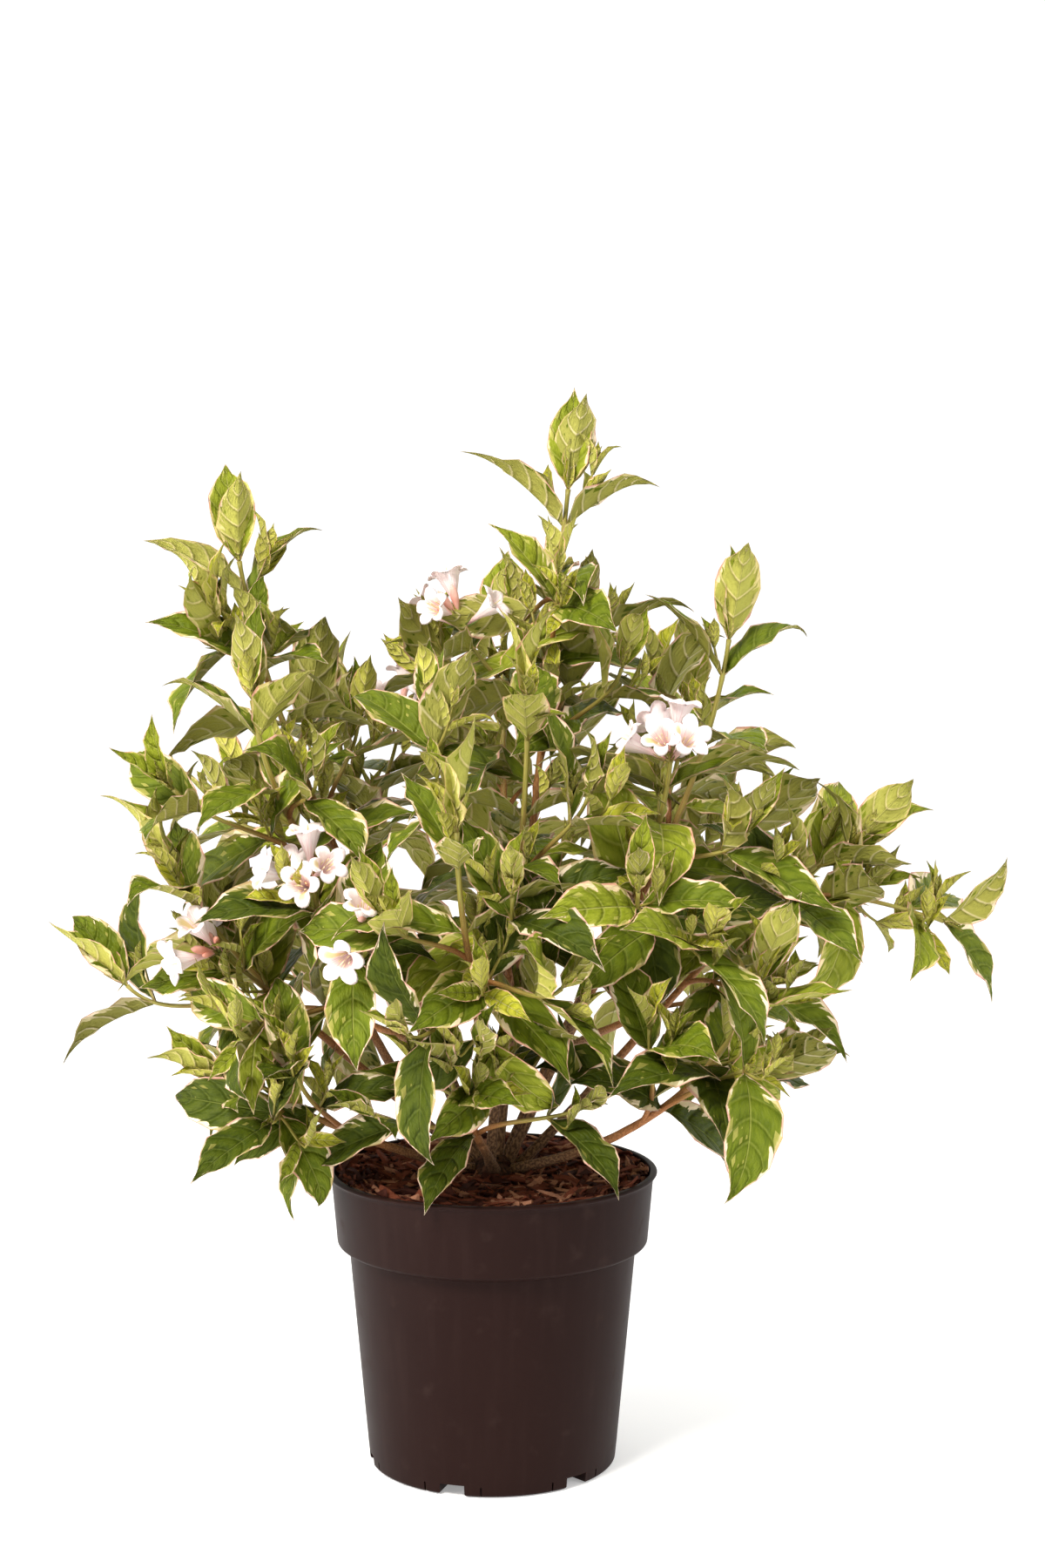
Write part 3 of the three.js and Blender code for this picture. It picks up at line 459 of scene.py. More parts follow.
# Each row is a cane and the leafy mass it carries: foot is where it stands on the stool, or fork the cane
# that it leaves and how far up; tip is its top leaf pair, rise the slope there and launch the slope at the
# foot, in degrees; enter is how far up the mass starts. turn is the way that the top pair faces, in degrees
# round the cane, age the age of that pair, flowers their number at the tip, and leaf the scale of the leaves.
CROWN = [
    dict(name="leader", foot=(3, 5), tip=(51, 10, 659), rise=84, enter=0.36, turn=90, shoots=[
        side(0.76, (44, -30, 602), 86, 30),
        side(0.84, (16, 32, 572), 84, 70),
        side(0.58, (66, 60, 576), 86, 100),
        side(0.66, (-38, 36, 552), 80, 20),
        side(0.62, (-22, 10, 572), 75, 70, age=3, flowers=4),
        side(0.6, (86, -24, 540), 70, 60),
    ]),
    dict(name="front_top", foot=(-2, -9), tip=(24, -90, 521), rise=87, enter=0.42, turn=0, shoots=[
        side(0.5, (-40, -76, 512), 86, 60),
        side(0.62, (62, -104, 462), 66, 30),
        side(0.45, (14, -150, 404), 60, 50),
    ]),
    dict(name="front_centre", fork=("front_top", 0.16), tip=(-20, -150, 444), rise=86, enter=0.36, turn=10,
         shoots=[
        side(0.56, (-66, -150, 392), 60, 80),
        side(0.46, (44, -158, 348), 40, 40),
        side(0.4, (-50, -150, 318), 30, 20),
        side(0.44, (-6, -128, 300), 40, 60),
    ]),
    dict(name="right_top", foot=(10, 2), tip=(158, -8, 559), rise=82, enter=0.46, turn=100, shoots=[
        side(0.62, (112, 34, 528), 80, 30),
        side(0.66, (142, 44, 484), 80, 90),
    ]),
    dict(name="right_front", fork=("right_top", 0.2), tip=(116, -74, 488), rise=84, enter=0.4, turn=10,
         flowers=6, age=3, shoots=[
        side(0.62, (164, -92, 438), 58, 60),
        side(0.52, (92, -142, 406), 56, 100),
        side(0.44, (136, -140, 376), 40, 30),
    ]),
    dict(name="right_arm", foot=(18, 6), tip=(240, 4, 418), rise=30, enter=0.5, turn=40, shoots=[
        side(0.8, (302, -16, 371), -16, 60, age=2),
        side(0.66, (198, -70, 410), 80, 30),
        side(0.7, (242, 12, 386), 26, 20),
        side(0.52, (178, -66, 340), 74, 50),
    ]),
    dict(name="right_low", foot=(14, -9), tip=(170, -120, 346), rise=66, launch=16, enter=0.42, turn=75,
         shoots=[
        side(0.62, (190, -80, 284), 26, 60),
        side(0.5, (158, -142, 294), 20, 90, age=3),
        side(0.44, (100, -128, 318), 50, 20),
    ]),
    dict(name="left_top", foot=(-9, 6), tip=(-171, 20, 611), rise=80, enter=0.46, turn=105, shoots=[
        side(0.66, (-129, 62, 515), 84, 20),
        side(0.78, (-158, -12, 556), 84, 60),
        side(0.86, (-184, -6, 566), 76, 0, age=1),
        side(0.56, (-92, 30, 500), 84, 110),
        side(0.52, (-186, 70, 440), 60, 50),
    ]),
    dict(name="left_middle", fork=("left_top", 0.22), tip=(-156, -44, 520), rise=84, enter=0.42, turn=70,
         shoots=[
        side(0.5, (-206, -62, 463), 46, 20),
        side(0.66, (-112, -78, 470), 76, 30),
    ]),
    dict(name="left_arm", foot=(-14, 2), tip=(-205, -60, 408), rise=60, enter=0.5, turn=0, shoots=[
        side(0.56, (-244, -20, 328), 46, 70, age=1),
        side(0.56, (-176, -70, 358), 40, 0, age=3, flowers=3),
        side(0.44, (-196, 30, 366), 60, 50),
    ]),
    dict(name="left_front", fork=("left_arm", 0.18), tip=(-114, -96, 408), rise=76, enter=0.4, turn=40,
         flowers=5, age=3, shoots=[
        side(0.56, (-82, -126, 374), 50, 80, age=3, flowers=2),
        side(0.46, (-164, -104, 322), 34, 60),
    ]),
    dict(name="left_low", foot=(-13, -8), leaf=0.84, tip=(-174, -60, 272), rise=24, launch=14, enter=0.46,
         turn=60, shoots=[
        side(0.5, (-128, -110, 300), 60, 10),
        side(0.72, (-140, -96, 252), 10, 50, age=2),
        side(0.66, (-170, -8, 268), 24, 40),
    ]),
    dict(name="front_low", foot=(2, -15), leaf=0.86, tip=(-26, -112, 286), rise=50, enter=0.3, turn=65,
         shoots=[
        side(0.4, (56, -106, 262), 24, 20),
        side(0.5, (26, -96, 322), 70, 50, age=1),
        side(0.36, (-74, -96, 256), 24, 110),
    ]),
    dict(name="back_left", foot=(-8, 13), tip=(-116, 150, 500), rise=80, enter=0.44, turn=30, shoots=[
        side(0.6, (-186, 160, 452), 62, 80),
        side(0.52, (-104, 218, 385), 56, 20),
        side(0.66, (-70, 176, 500), 80, 60, age=3, flowers=4),
    ]),
    dict(name="back_centre", fork=("leader", 0.14), tip=(6, 152, 556), rise=82, enter=0.4, turn=100,
         shoots=[
        side(0.62, (-44, 190, 500), 74, 40),
        side(0.56, (58, 204, 486), 68, 10),
        side(0.46, (8, 232, 404), 50, 70),
    ]),
    dict(name="back_right", foot=(8, 13), tip=(140, 138, 508), rise=80, enter=0.44, turn=50, shoots=[
        side(0.6, (196, 150, 428), 64, 10),
        side(0.52, (158, 206, 420), 58, 90, age=3, flowers=3),
        side(0.5, (214, 92, 376), 50, 30),
    ]),
    dict(name="back_low_left", fork=("back_left", 0.2), tip=(-150, 176, 316), rise=46, enter=0.4, turn=70,
         shoots=[
        side(0.6, (-204, 108, 298), 24, 20),
        side(0.56, (-84, 226, 312), 36, 100),
    ]),
    dict(name="back_low_right", fork=("back_right", 0.2), tip=(146, 184, 314), rise=44, enter=0.4, turn=20,
         shoots=[
        side(0.6, (196, 124, 304), 24, 70),
        side(0.54, (64, 230, 318), 40, 110),
    ]),
]
UP = np.array([0.0, 0, 1])


def unit(vectors):
    return vectors / np.linalg.norm(vectors, axis=-1, keepdims=True)


def toward(first, second, angle):
    """Directions at an angle from the first towards the second, square to it: first cos a + second sin a."""
    angle = np.asarray(angle)[..., None]
    return first * np.cos(angle) + second * np.sin(angle)


class Limb:
    """A limb's axis is a cubic Bezier curve. It starts in one direction and bends to its rise: the slope at
    its tip, headed away from the start."""

    def __init__(self, start, launch, tip, rise):
        tip = np.asarray(tip, float)
        span = np.linalg.norm(tip - start)
        outward = unit((tip - start) * (1, 1, 0))
        end = toward(outward, UP, math.radians(rise))
        self.knots = np.array([start, start + launch * span * 0.38, tip - end * span * 0.34, tip])
        self.side = np.cross(UP, outward)

    def point(self, t):
        t = np.asarray(t, float)[..., None]
        shares = ((1 - t) ** 3, 3 * (1 - t) ** 2 * t, 3 * (1 - t) * t**2, t**3)
        return sum(share * knot for share, knot in zip(shares, self.knots))

    def tangent(self, t):
        t = np.asarray(t, float)[..., None]
        shares = ((1 - t) ** 2, 2 * (1 - t) * t, t**2)
        return unit(sum(share * step for share, step in zip(shares, np.diff(self.knots, axis=0))))

    def length(self):
        return np.linalg.norm(np.diff(self.point(np.linspace(0, 1, 201)), axis=0), axis=1).sum()


def cane_radius(t):
    return CANE_FOOT_RADIUS + (CANE_TIP_RADIUS - CANE_FOOT_RADIUS) * np.minimum(1, t) ** 0.7


def cane_limbs():
    limbs = {}
    for row in CROWN:
        if "foot" in row:
            start = np.array([*row["foot"], CANE_FOOT_HEIGHT], float)
        else:
            start = limbs[row["fork"][0]].point(row["fork"][1])
        launch = unit(np.array(row["tip"]) - start)
        if "launch" in row:
            launch = toward(unit(launch * (1, 1, 0)), UP, math.radians(row["launch"]))
        limbs[row["name"]] = Limb(start, launch, row["tip"], row["rise"])
    return limbs


def tube(limb, start, end, radius_at, sides, rings, ages, relief=0.0, phase=0.0, nodes=()):
    """Rings of points round a limb, closed by a point at either end. relief roughens the skin in long ridges,
    and each node, a share of the limb's length where leaves stand, is a slight knuckle. Returns the points,
    the age of each ring and the number of sides."""
    t = np.linspace(start, end, rings)
    angle = steps_round(sides)
    tangent = limb.tangent(t)
    u = unit(limb.side - tangent * (tangent @ limb.side)[:, None])
    radius = radius_at(t)
    for node in nodes:
        radius = radius * (1 + 0.3 * np.exp(-(((t - node) / 0.006) ** 2)))
    ridges = (np.sin(3 * angle + 40 * t[:, None] + phase)
              + 0.7 * np.sin(7 * angle - 90 * t[:, None] + 2 * phase))
    radius = radius[:, None] * (1 + relief * ridges)
    outward = toward(u[:, None], np.cross(tangent, u)[:, None], angle)
    ring = limb.point(t)[:, None] + radius[..., None] * outward
    points = np.concatenate([ring.reshape(-1, 3), [limb.point(start), limb.point(end)]])
    return points, np.interp(t, (start, end), ages), sides


def closed_maps(places, sides, step):
    """The flat map of a closed shape's quads and of its caps: across is each ring's place, and upwards the
    way round. The middles of the caps lie one step in from the first ring and the last."""
    turn = inset(np.linspace(0, 1, sides + 1))
    flat = np.stack(np.broadcast_arrays(places[:, None], turn), -1).reshape(-1, 2)
    low, high = turn[:-1], turn[1:]
    caps = []
    for place, inward, rim in ((places[0], step, (high, low)), (places[-1], -step, (low, high))):
        x = np.broadcast_to([place + inward, place, place], (sides, 3))
        caps.append(np.stack([x, np.stack([(low + high) / 2, *rim], 1)], -1))
    return flat[grid_faces(len(places), sides + 1)].reshape(-1, 2), np.concatenate(caps).reshape(-1, 2)


def tubes_piece(name, tubes, material, replaced=()):
    """Joins tubes that may differ in sides and rings. Their shared map has age across, and the way round
    upwards."""
    parts, first = [], 0
    for points, age, sides in tubes:
        maps = closed_maps(inset(age), sides, 0.01)
        parts.append((points, *closed_faces(len(age), sides, first), *maps))
        first += len(points)
    corners, quads, caps, quad_maps, cap_maps = (np.concatenate(part) for part in zip(*parts))
    mesh = new_mesh(name, corners, quads, caps)
    set_map(mesh, np.concatenate([quad_maps, cap_maps]))
    return new_piece(mesh, replaced, [material])


def parts_of(tree, place):
    """The coordinates of a place, each as a number."""
    return [Field(tree, socket) for socket in add_node(tree, "SeparateXYZ", {0: place}).outputs]


def shoot_bark():
    """Bark by age: grey-brown and cracked on old wood, then red-brown, then the smooth olive of this year."""
    material, tree, shader = new_material("shoot_bark", 0.6, 0.4)
    place = map_place(tree)
    age = parts_of(tree, place)[0]
    cracks = noise(tree, 1, 4, place, (160, 14, 1))
    patches = noise(tree, 14, 3, place)
    wander = age + (patches - 0.5) * 0.24
    old = mixed(tree, cracks.above(0.4, 0.62), paint(84, 58, 38), paint(142, 108, 76))
    red = mixed(tree, cracks.above(0.35, 0.7), paint(128, 80, 42), paint(168, 112, 62))
    olive = mixed(tree, patches.above(0.35, 0.65), paint(132, 118, 48), paint(152, 146, 66))
    base = mixed(tree, wander.above(0.12, 0.42), old, red)
    base = mixed(tree, wander.above(0.5, 0.86), base, olive)
    tree.links.new((0.85 - 0.4 * age).socket, shader.inputs["Roughness"])
    return finished(material, base, cracks * (1 - age), 0.0006)


limbs = cane_limbs()
bark = shoot_bark()
cane_tubes = []
for index, row in enumerate(CROWN):
    limb, enter = limbs[row["name"]], row["enter"]
    rings = max(6, int(limb.length() * enter / 4))
    cane_tubes.append(tube(limb, 0, enter + OVERLAP, cane_radius, 12, rings, (0, enter), 0.035, index))
tubes_piece("canes", cane_tubes, bark, [f"bough_{row['name']}" for row in CROWN])

# ---------------------------------------------------------------- leafy shoots
# Above the bare canes the wood is younger: stems and side shoots with opposite leaf pairs, each pair turned a
# quarter from the last. In many leaf axils a short young shoot has broken, and carries two or three
# small pairs of its own.
BUD_GAP, INTERNODE = 25, 44
LEAF_STAGES = (  # by age: length, width, spread off the shoot, arch of the midrib and fold along it
    dict(length=48, width=21, spread=12, arch=6, fold=38),
    dict(length=68, width=35, spread=13, arch=6, fold=34),
    dict(length=82, width=38, spread=44, arch=28, fold=26),
    dict(length=90, width=41, spread=66, arch=42, fold=20),
    dict(length=88, width=42, spread=78, arch=48, fold=16),
)
LEAF_SPACE, TWIG_SPACE = 10, 6  # kept between blades of different pairs, and between a blade and a shoot
# Turns round the shoot and tips off it, in degrees, one of which gives a leaf more room.
SECOND_TRIES = ((0, 0), (15, 0), (-15, 0), (0, 14), (0, -14), (28, 0), (-28, 0), (16, 15), (-16, -15),
                (40, 10), (-40, 10))
SPRIG_SHARE = 0.55  # of the axils of grown leaves have a young shoot
SHOOT_FOOT_RADIUS, SHOOT_TIP_RADIUS = 1.9, 1.2
FLOWER_LENGTH, FLOWER_STALK, FLOWER_LIFT = 34, 6, 24
RIGHT = np.array([1.0, 0, 0])
GROUPS = {
    "centre": ("leader", "front_top", "front_centre", "front_low"),
    "right": ("right_top", "right_front", "right_arm", "right_low"),
    "left": ("left_top", "left_middle", "left_arm", "left_front", "left_low"),
    "back": ("back_left", "back_centre", "back_right", "back_low_left", "back_low_right"),
}


def seeded_rule(seed):
    """A repeatable run of numbers from 0 to 1: each state is 1664525 times the last plus 1013904223, as a
    32 bit number."""
    state = seed

    def draw():
        nonlocal state
        state = (1664525 * state + 1013904223) % 2**32
        return state / 2**32

    draw()
    draw()
    return draw


def axes_round(axis):
    """Two directions square to an axis and to each other, the first of them nearest to the plant's right."""
    u = unit(RIGHT - axis * axis[..., :1])
    return u, np.cross(axis, u)


def side_limb(stem, shoot):
    """A side shoot leaves between the stem's own direction and the way to its tip."""
    start = stem.point(shoot["at"])
    leave = unit(unit(np.array(shoot["tip"]) - start) + 0.7 * stem.tangent(shoot["at"]))
    return Limb(start, leave, shoot["tip"], shoot["rise"])


def leaf_frame(node, tangent, heading, stage, drawn, tip=0):
    """Where a leaf springs from and how it lies: its direction, its upper side, its bend and its fold."""
    out = toward(*axes_round(tangent), math.radians(heading))
    spread = math.radians(stage["spread"] + drawn["spread"] + tip)
    direction = unit(toward(tangent, out, spread) + UP * 0.12)
    upper = toward(-out, tangent, spread) + UP * 0.8
    level = unit(upper - direction * (upper @ direction))
    normal = toward(level, np.cross(direction, level), math.radians(drawn["roll"]))
    return dict(node=node, direction=direction, normal=normal, side=np.cross(direction, normal), out=out,
                length=stage["length"] * drawn["scale"], width=stage["width"] * drawn["scale"],
                arch=math.radians(stage["arch"] + drawn["arch"]), fold=math.radians(stage["fold"]))


def leaf_probes(leaf):
    """Five points on a blade that bends in an arc and is folded up along its midrib."""
    s, across = np.array([(0.35, 0), (0.6, 0), (0.88, 0), (0.5, 0.8), (0.5, -0.8)]).T
    half, bend = across * leaf["width"] / 2, leaf["arch"] * s
    forward, sunk = np.sin(bend) / leaf["arch"], (1 - np.cos(bend)) / leaf["arch"]
    middle = leaf["length"] * (forward[:, None] * leaf["direction"] - sunk[:, None] * leaf["normal"])
    outward = (half * math.cos(leaf["fold"]))[:, None] * leaf["side"]
    upward = toward(leaf["normal"], leaf["direction"], bend)
    return leaf["node"] + middle + outward + (np.abs(half) * math.sin(leaf["fold"]))[:, None] * upward


def nearest(points, others):
    return np.sqrt(((points[:, None] - others[None]) ** 2).sum(-1).min())


def shoots_of(row, index):
    """The stem of a mass, which is the rest of its cane, and the side shoots that leave it."""
    limb = limbs[row["name"]]
    plans = [(row, limb, row["enter"] + 0.4 / limb.length())]
    plans += [(shoot, side_limb(limb, shoot), 0.2) for shoot in row["shoots"]]
    return [dict(row=row, limb=axis, start=start, stem=order == 0, nodes=[], turn=plan["turn"],
                 flowers=plan.get("flowers", 0), age=plan.get("age", 1), seed=index * 64 + order + 1)
            for order, (plan, axis, start) in enumerate(plans)]


def flower_places(shoot, draw):
    """A cluster at a shoot's tip: each trumpet's root, direction and turn."""
    top, axis = shoot["limb"].point(1), shoot["limb"].tangent(1)
    u, v = axes_round(axis)
    places = []
    for k in range(shoot["flowers"]):
        angle = math.radians(shoot["turn"] + 360 / shoot["flowers"] * k + 40 * (draw() - 0.5))
        lean = math.radians(8 if k == 0 else 48 + 26 * draw())
        turn = math.pi * draw()
        direction = unit(toward(axis, toward(u, v, angle), lean))
        places.append((top - axis * FLOWER_STALK * (k % 2), direction, turn))
    return places


def grow_pairs(shoots):
    """The leaf pairs of every shoot from its tip down, and its flowers."""
    pairs, flowers = [], []
    for shoot in shoots:
        draw = seeded_rule(shoot["seed"])
        span = shoot["limb"].length()
        flowers += flower_places(shoot, draw)
        below, order = FLOWER_LIFT if shoot["flowers"] else 0, 0
        while 1 - below / span > shoot["start"]:
            leaves = []
            for half in (0, 180):
                heading = shoot["turn"] + 90 * order + half + 24 * (draw() - 0.5)
                leaves.append(dict(heading=heading, spread=16 * (draw() - 0.5), arch=20 * (draw() - 0.5),
                                   roll=60 * (draw() - 0.5),
                                   scale=shoot["row"].get("leaf", 1) * (0.88 + 0.22 * draw())))
            age = shoot["age"] if order == 0 else max(shoot["age"] + order, order + 1)
            t = 1 - below / span
            pairs.append(dict(shoot=shoot, t=t, order=order, age=min(4, age), leaves=leaves))
            shoot["nodes"].append(t)
            below += BUD_GAP if order == 0 else INTERNODE * (0.9 + 0.3 * draw())
            order += 1
    return sorted(pairs, key=lambda pair: pair["order"]), flowers


def set_leaves(pairs, flowers, shoots):
    """Sets every leaf where it has room, from the tips down: one that comes too near its neighbours is turned
    or tipped a little."""
    twig_points = [limbs[row["name"]].point(np.arange(0.1, row["enter"] + 1e-9, 0.04)) for row in CROWN]
    twig_points += [shoot["limb"].point(np.arange(shoot["start"] + 0.04, 1, 0.05)) for shoot in shoots]
    twig_points = np.concatenate(twig_points)
    blade_points = np.array([root + direction * FLOWER_LENGTH for root, direction, _ in flowers])
    leaves = []
    for pair in pairs:
        limb, t, stage = pair["shoot"]["limb"], pair["t"], LEAF_STAGES[pair["age"]]
        node, tangent = limb.point(t), limb.tangent(t)
        fresh = []
        for drawn in pair["leaves"]:
            places = []
            for swing, tip in SECOND_TRIES:
                leaf = leaf_frame(node, tangent, drawn["heading"] + swing, stage, drawn, tip)
                probes = leaf_probes(leaf)
                room = min(nearest(probes, blade_points) / LEAF_SPACE,
                           nearest(probes, twig_points) / TWIG_SPACE, 1)
                places.append((room, leaf, probes))
            _, leaf, probes = max(places, key=lambda place: place[0])
            leaf.update(age=pair["age"], mass=pair["shoot"]["row"]["name"], tangent=tangent)
            leaves.append(leaf)
            fresh.append(probes)
        blade_points = np.concatenate([blade_points, *fresh])
    return leaves


def young_shoots(leaves, rng):
    """Short shoots in the axils of grown leaves. Each is a limb with two or three small pairs, within the
    reach of the leaf beside it."""
    sprigs = []
    for leaf in leaves:
        if leaf["age"] < 2 or rng.uniform() > SPRIG_SHARE:
            continue
        length = rng.uniform(14, 42)
        aim = unit(leaf["tangent"] * 0.75 + leaf["out"] * 0.6 + UP * 0.25 + rng.normal(0, 0.12, 3))
        limb = Limb(leaf["node"], unit(aim + leaf["out"] * 0.3), leaf["node"] + aim * length, 75)
        sprigs.append(dict(limb=limb, mass=leaf["mass"], turn=rng.uniform(0, 180),
                           pairs=3 if length > 22 else 2, size=rng.uniform(0.7, 1.15)))
    return sprigs


def small_leaves(shoots, sprigs, rng):
    """The cupped pairs on the young shoots, and the unopened inner pairs at the tip of every stem."""
    leaves = []

    def add_pair(limb, t, turn, length, spread, mass):
        stage = dict(length=length, width=length * rng.uniform(0.36, 0.46), spread=spread, arch=8, fold=40)
        for half in (0, 180):
            drawn = dict(spread=rng.normal(0, 6), arch=rng.normal(0, 10), roll=rng.normal(0, 14),
                         scale=rng.uniform(0.88, 1.1))
            leaf = leaf_frame(limb.point(t), limb.tangent(t), turn + half + rng.normal(0, 8), stage, drawn)
            leaf.update(age=-1, mass=mass)
            leaves.append(leaf)

    for shoot in shoots:
        size = (20, 30, 14)[min(2, shoot["age"])]
        if not shoot["flowers"]:
            for t, turn, length, spread in ((1, 90, size, 6), (0.995, 0, size * 1.25, 10)):
                add_pair(shoot["limb"], t, shoot["turn"] + turn, length, spread, shoot["row"]["name"])
    for sprig in sprigs:
        for t, turn, length, spread in ((1, 0, 22, 9), (0.94, 90, 33, 20), (0.5, 0, 38, 44))[:sprig["pairs"]]:
            add_pair(sprig["limb"], t, sprig["turn"] + turn, length * sprig["size"], spread, sprig["mass"])
    return leaves


def shoot_radius(t):
    return SHOOT_FOOT_RADIUS + (SHOOT_TIP_RADIUS - SHOOT_FOOT_RADIUS) * t


shoots = [shoot for index, row in enumerate(CROWN) for shoot in shoots_of(row, index)]
pairs, flowers = grow_pairs(shoots)
grown_leaves = set_leaves(pairs, flowers, shoots)
sprigs = []
for index, row in enumerate(CROWN):
    own = [leaf for leaf in grown_leaves if leaf["mass"] == row["name"]]
    sprigs += young_shoots(own, np.random.default_rng(100 + index))
tip_leaves = small_leaves(shoots, sprigs, np.random.default_rng(5))

for group, masses in GROUPS.items():
    twigs = []
    for index, shoot in enumerate(shoots):
        if shoot["row"]["name"] in masses:
            start, radius, oldest = 0, shoot_radius, 0.45
            if shoot["stem"]:
                start, radius = shoot["row"]["enter"] - OVERLAP, cane_radius
                oldest = start
            rings = max(8, int(shoot["limb"].length() * (1 - shoot["start"] * shoot["stem"]) / 5))
            twigs.append(tube(shoot["limb"], start, 1, radius, 10, rings, (oldest, 1), 0.015, index,
                              shoot["nodes"]))
    for sprig in sprigs:
        if sprig["mass"] in masses:
            twigs.append(tube(sprig["limb"], 0, 1, lambda t: 1.15 - 0.35 * t, 6, 6, (0.75, 1)))
    tubes_piece(f"twigs_{group}", twigs, bark)

# ---------------------------------------------------------------- leaves
# Opposite leaves with a drip tip, folded along the midrib and quilted between seven pairs of sunken veins:
# dark green in the middle, with a ragged cream margin that breaks inwards along the veins and a thin pinkish
# edge. Those of young shoots are narrow, cupped and yellow-green.
ROWS = np.array([0, 0.03, 0.075, 0.14, 0.215, 0.3, 0.385, 0.47, 0.555, 0.64, 0.72, 0.8, 0.875, 0.94, 1])
GROWN_COLUMNS = np.array([-1, -0.74, -0.48, -0.22, 0, 0.22, 0.48, 0.74, 1])
SMALL_ROWS, SMALL_COLUMNS = (0, 1, 3, 5, 7, 9, 11, 13, 14), np.array([-1, -0.5, 0, 0.5, 1])
MIDRIB_STEPS, VEIN_PAIRS = 40, 7
PATCHES_ACROSS, PATCHES_UP = 8, 4  # of the leaves' shared map; the under sides take its upper half


def blade_width(s):
    """Half the width at s along the leaf, 1 at the widest: s^0.75 (1 - s)^1.05, drawn in to a fine tip, on a
    narrow stalk."""
    x = np.clip((s - 0.035) / 0.965, 0, 1)
    blade = x**0.75 * (1 - x) ** 1.05 / 0.302
    tip = np.clip((x - 0.7) / 0.2, 0, 1)
    return np.maximum(blade * (1 - 0.5 * tip * tip * (3 - 2 * tip)), np.where(s < 0.5, 0.055, 0.012))


class LeafShape:
    """The grid that every leaf of one sort is made from. Rows follow the side veins, so they slant forwards
    from the midrib to the margin. The upper and under sides share the corners round the margin."""

    def __init__(self, rows, columns):
        rows = np.asarray(rows)
        self.across = np.broadcast_to(columns, (len(rows), len(columns)))
        row = ROWS[rows][:, None]
        self.along = row + (0.1 + 0.14 * np.abs(self.across)) * np.abs(self.across) * np.sin(np.pi * row)
        self.vein = np.where((rows % 2 == 0) | (rows < 2), -1.0, 1.0)[:, None] * 4 * row * (1 - row)
        count, width = self.across.shape
        upper = np.arange(count * width).reshape(count, width)
        under = upper.copy()
        under[1:-1, 1:-1] = count * width + np.arange((count - 2) * (width - 2)).reshape(count - 2, width - 2)
        cells = grid_faces(count, width)
        self.faces = np.concatenate([upper.ravel()[cells], under.ravel()[cells][:, ::-1]])
        flat = np.stack([0.04 + 0.46 * (self.across + 1),
                         inset(rows[:, None] / (len(ROWS) - 1)) + 0 * self.across], -1)
        maps = flat.reshape(-1, 2)[cells]
        self.maps = np.concatenate([maps, maps[:, ::-1] + (0, PATCHES_UP // 2)])
        self.rim = np.ones(count * width + (count - 2) * (width - 2), bool)
        self.rim[upper[1:-1, 1:-1]] = False
        self.rim[count * width:] = False


def curved(leaves, shape, rng):
    """All leaves of one shape as an array of points (leaf, corner, 3). The midrib turns by arch at a steady
    rate, and by curl near the tip, and its place is the running sum of those directions. Across it, a corner
    is moved out by half the width and up by the fold, the quilting and the waves of the margin."""
    count = len(leaves)
    node, direction, normal, side, length, width, arch, fold = (
        np.array([leaf[key] for leaf in leaves])[:, None, None]
        for key in ("node", "direction", "normal", "side", "length", "width", "arch", "fold"))
    s = np.linspace(0, 1, MIDRIB_STEPS + 1)
    curl = rng.normal(0.45, 0.4, count)[:, None]
    bend = arch[:, 0] * s + curl * np.clip((s - 0.55) / 0.45, 0, 1) ** 2
    middle = (bend[:, 1:] + bend[:, :-1]) / 2
    forward, sunk = (np.cumsum(np.pad(way * length[:, 0] / MIDRIB_STEPS, ((0, 0), (1, 0))), 1)
                     for way in (np.cos(middle), np.sin(middle)))
    place = shape.along * MIDRIB_STEPS
    low = np.minimum(place.astype(int), MIDRIB_STEPS - 1)
    share = place - low
    forward, sunk, bend = (table[:, low] * (1 - share) + table[:, low + 1] * share
                           for table in (forward, sunk, bend))
    along, across = shape.along, shape.across
    reach = np.abs(across)
    half = blade_width(along) * width / 2
    half = half * (1 + rng.normal(0, 0.035, (count, *along.shape)) * (reach > 0.9))
    fold = fold * (1.15 - 0.4 * along)
    waves = rng.uniform(0, 2 * np.pi, (3, count, 1, 1))
    wave = (np.sin(2 * np.pi * 2.2 * along + waves[0] + (across > 0) * waves[1]) * 0.13
            + np.sin(2 * np.pi * 4.6 * along + waves[2] + (across < 0) * waves[1]) * 0.06)
    lift = (half * reach * np.sin(fold) * (1.2 - 0.4 * reach) + half * wave * reach**2
            + shape.vein * 0.01 * length * (1 - reach**4) * reach**0.5)
    out = half * across * np.cos(fold)
    twist = rng.normal(0, 0.22, count)[:, None, None] * along
    sway = rng.normal(0, 0.05, count)[:, None, None] * along**2 * length
    upward = toward(normal, direction, bend)
    turned_up = toward(upward, -side, twist)
    upper = (node + forward[..., None] * direction - sunk[..., None] * normal + sway[..., None] * side
             + out[..., None] * toward(side, upward, twist) + lift[..., None] * turned_up)
    thick = 0.34 + 0.8 * (1 - along) ** 1.4 * np.clip(1 - reach / 0.25, 0, 1)
    under = upper - thick[..., None] * turned_up
    return np.concatenate([upper.reshape(count, -1, 3), under[:, 1:-1, 1:-1].reshape(count, -1, 3)], 1)


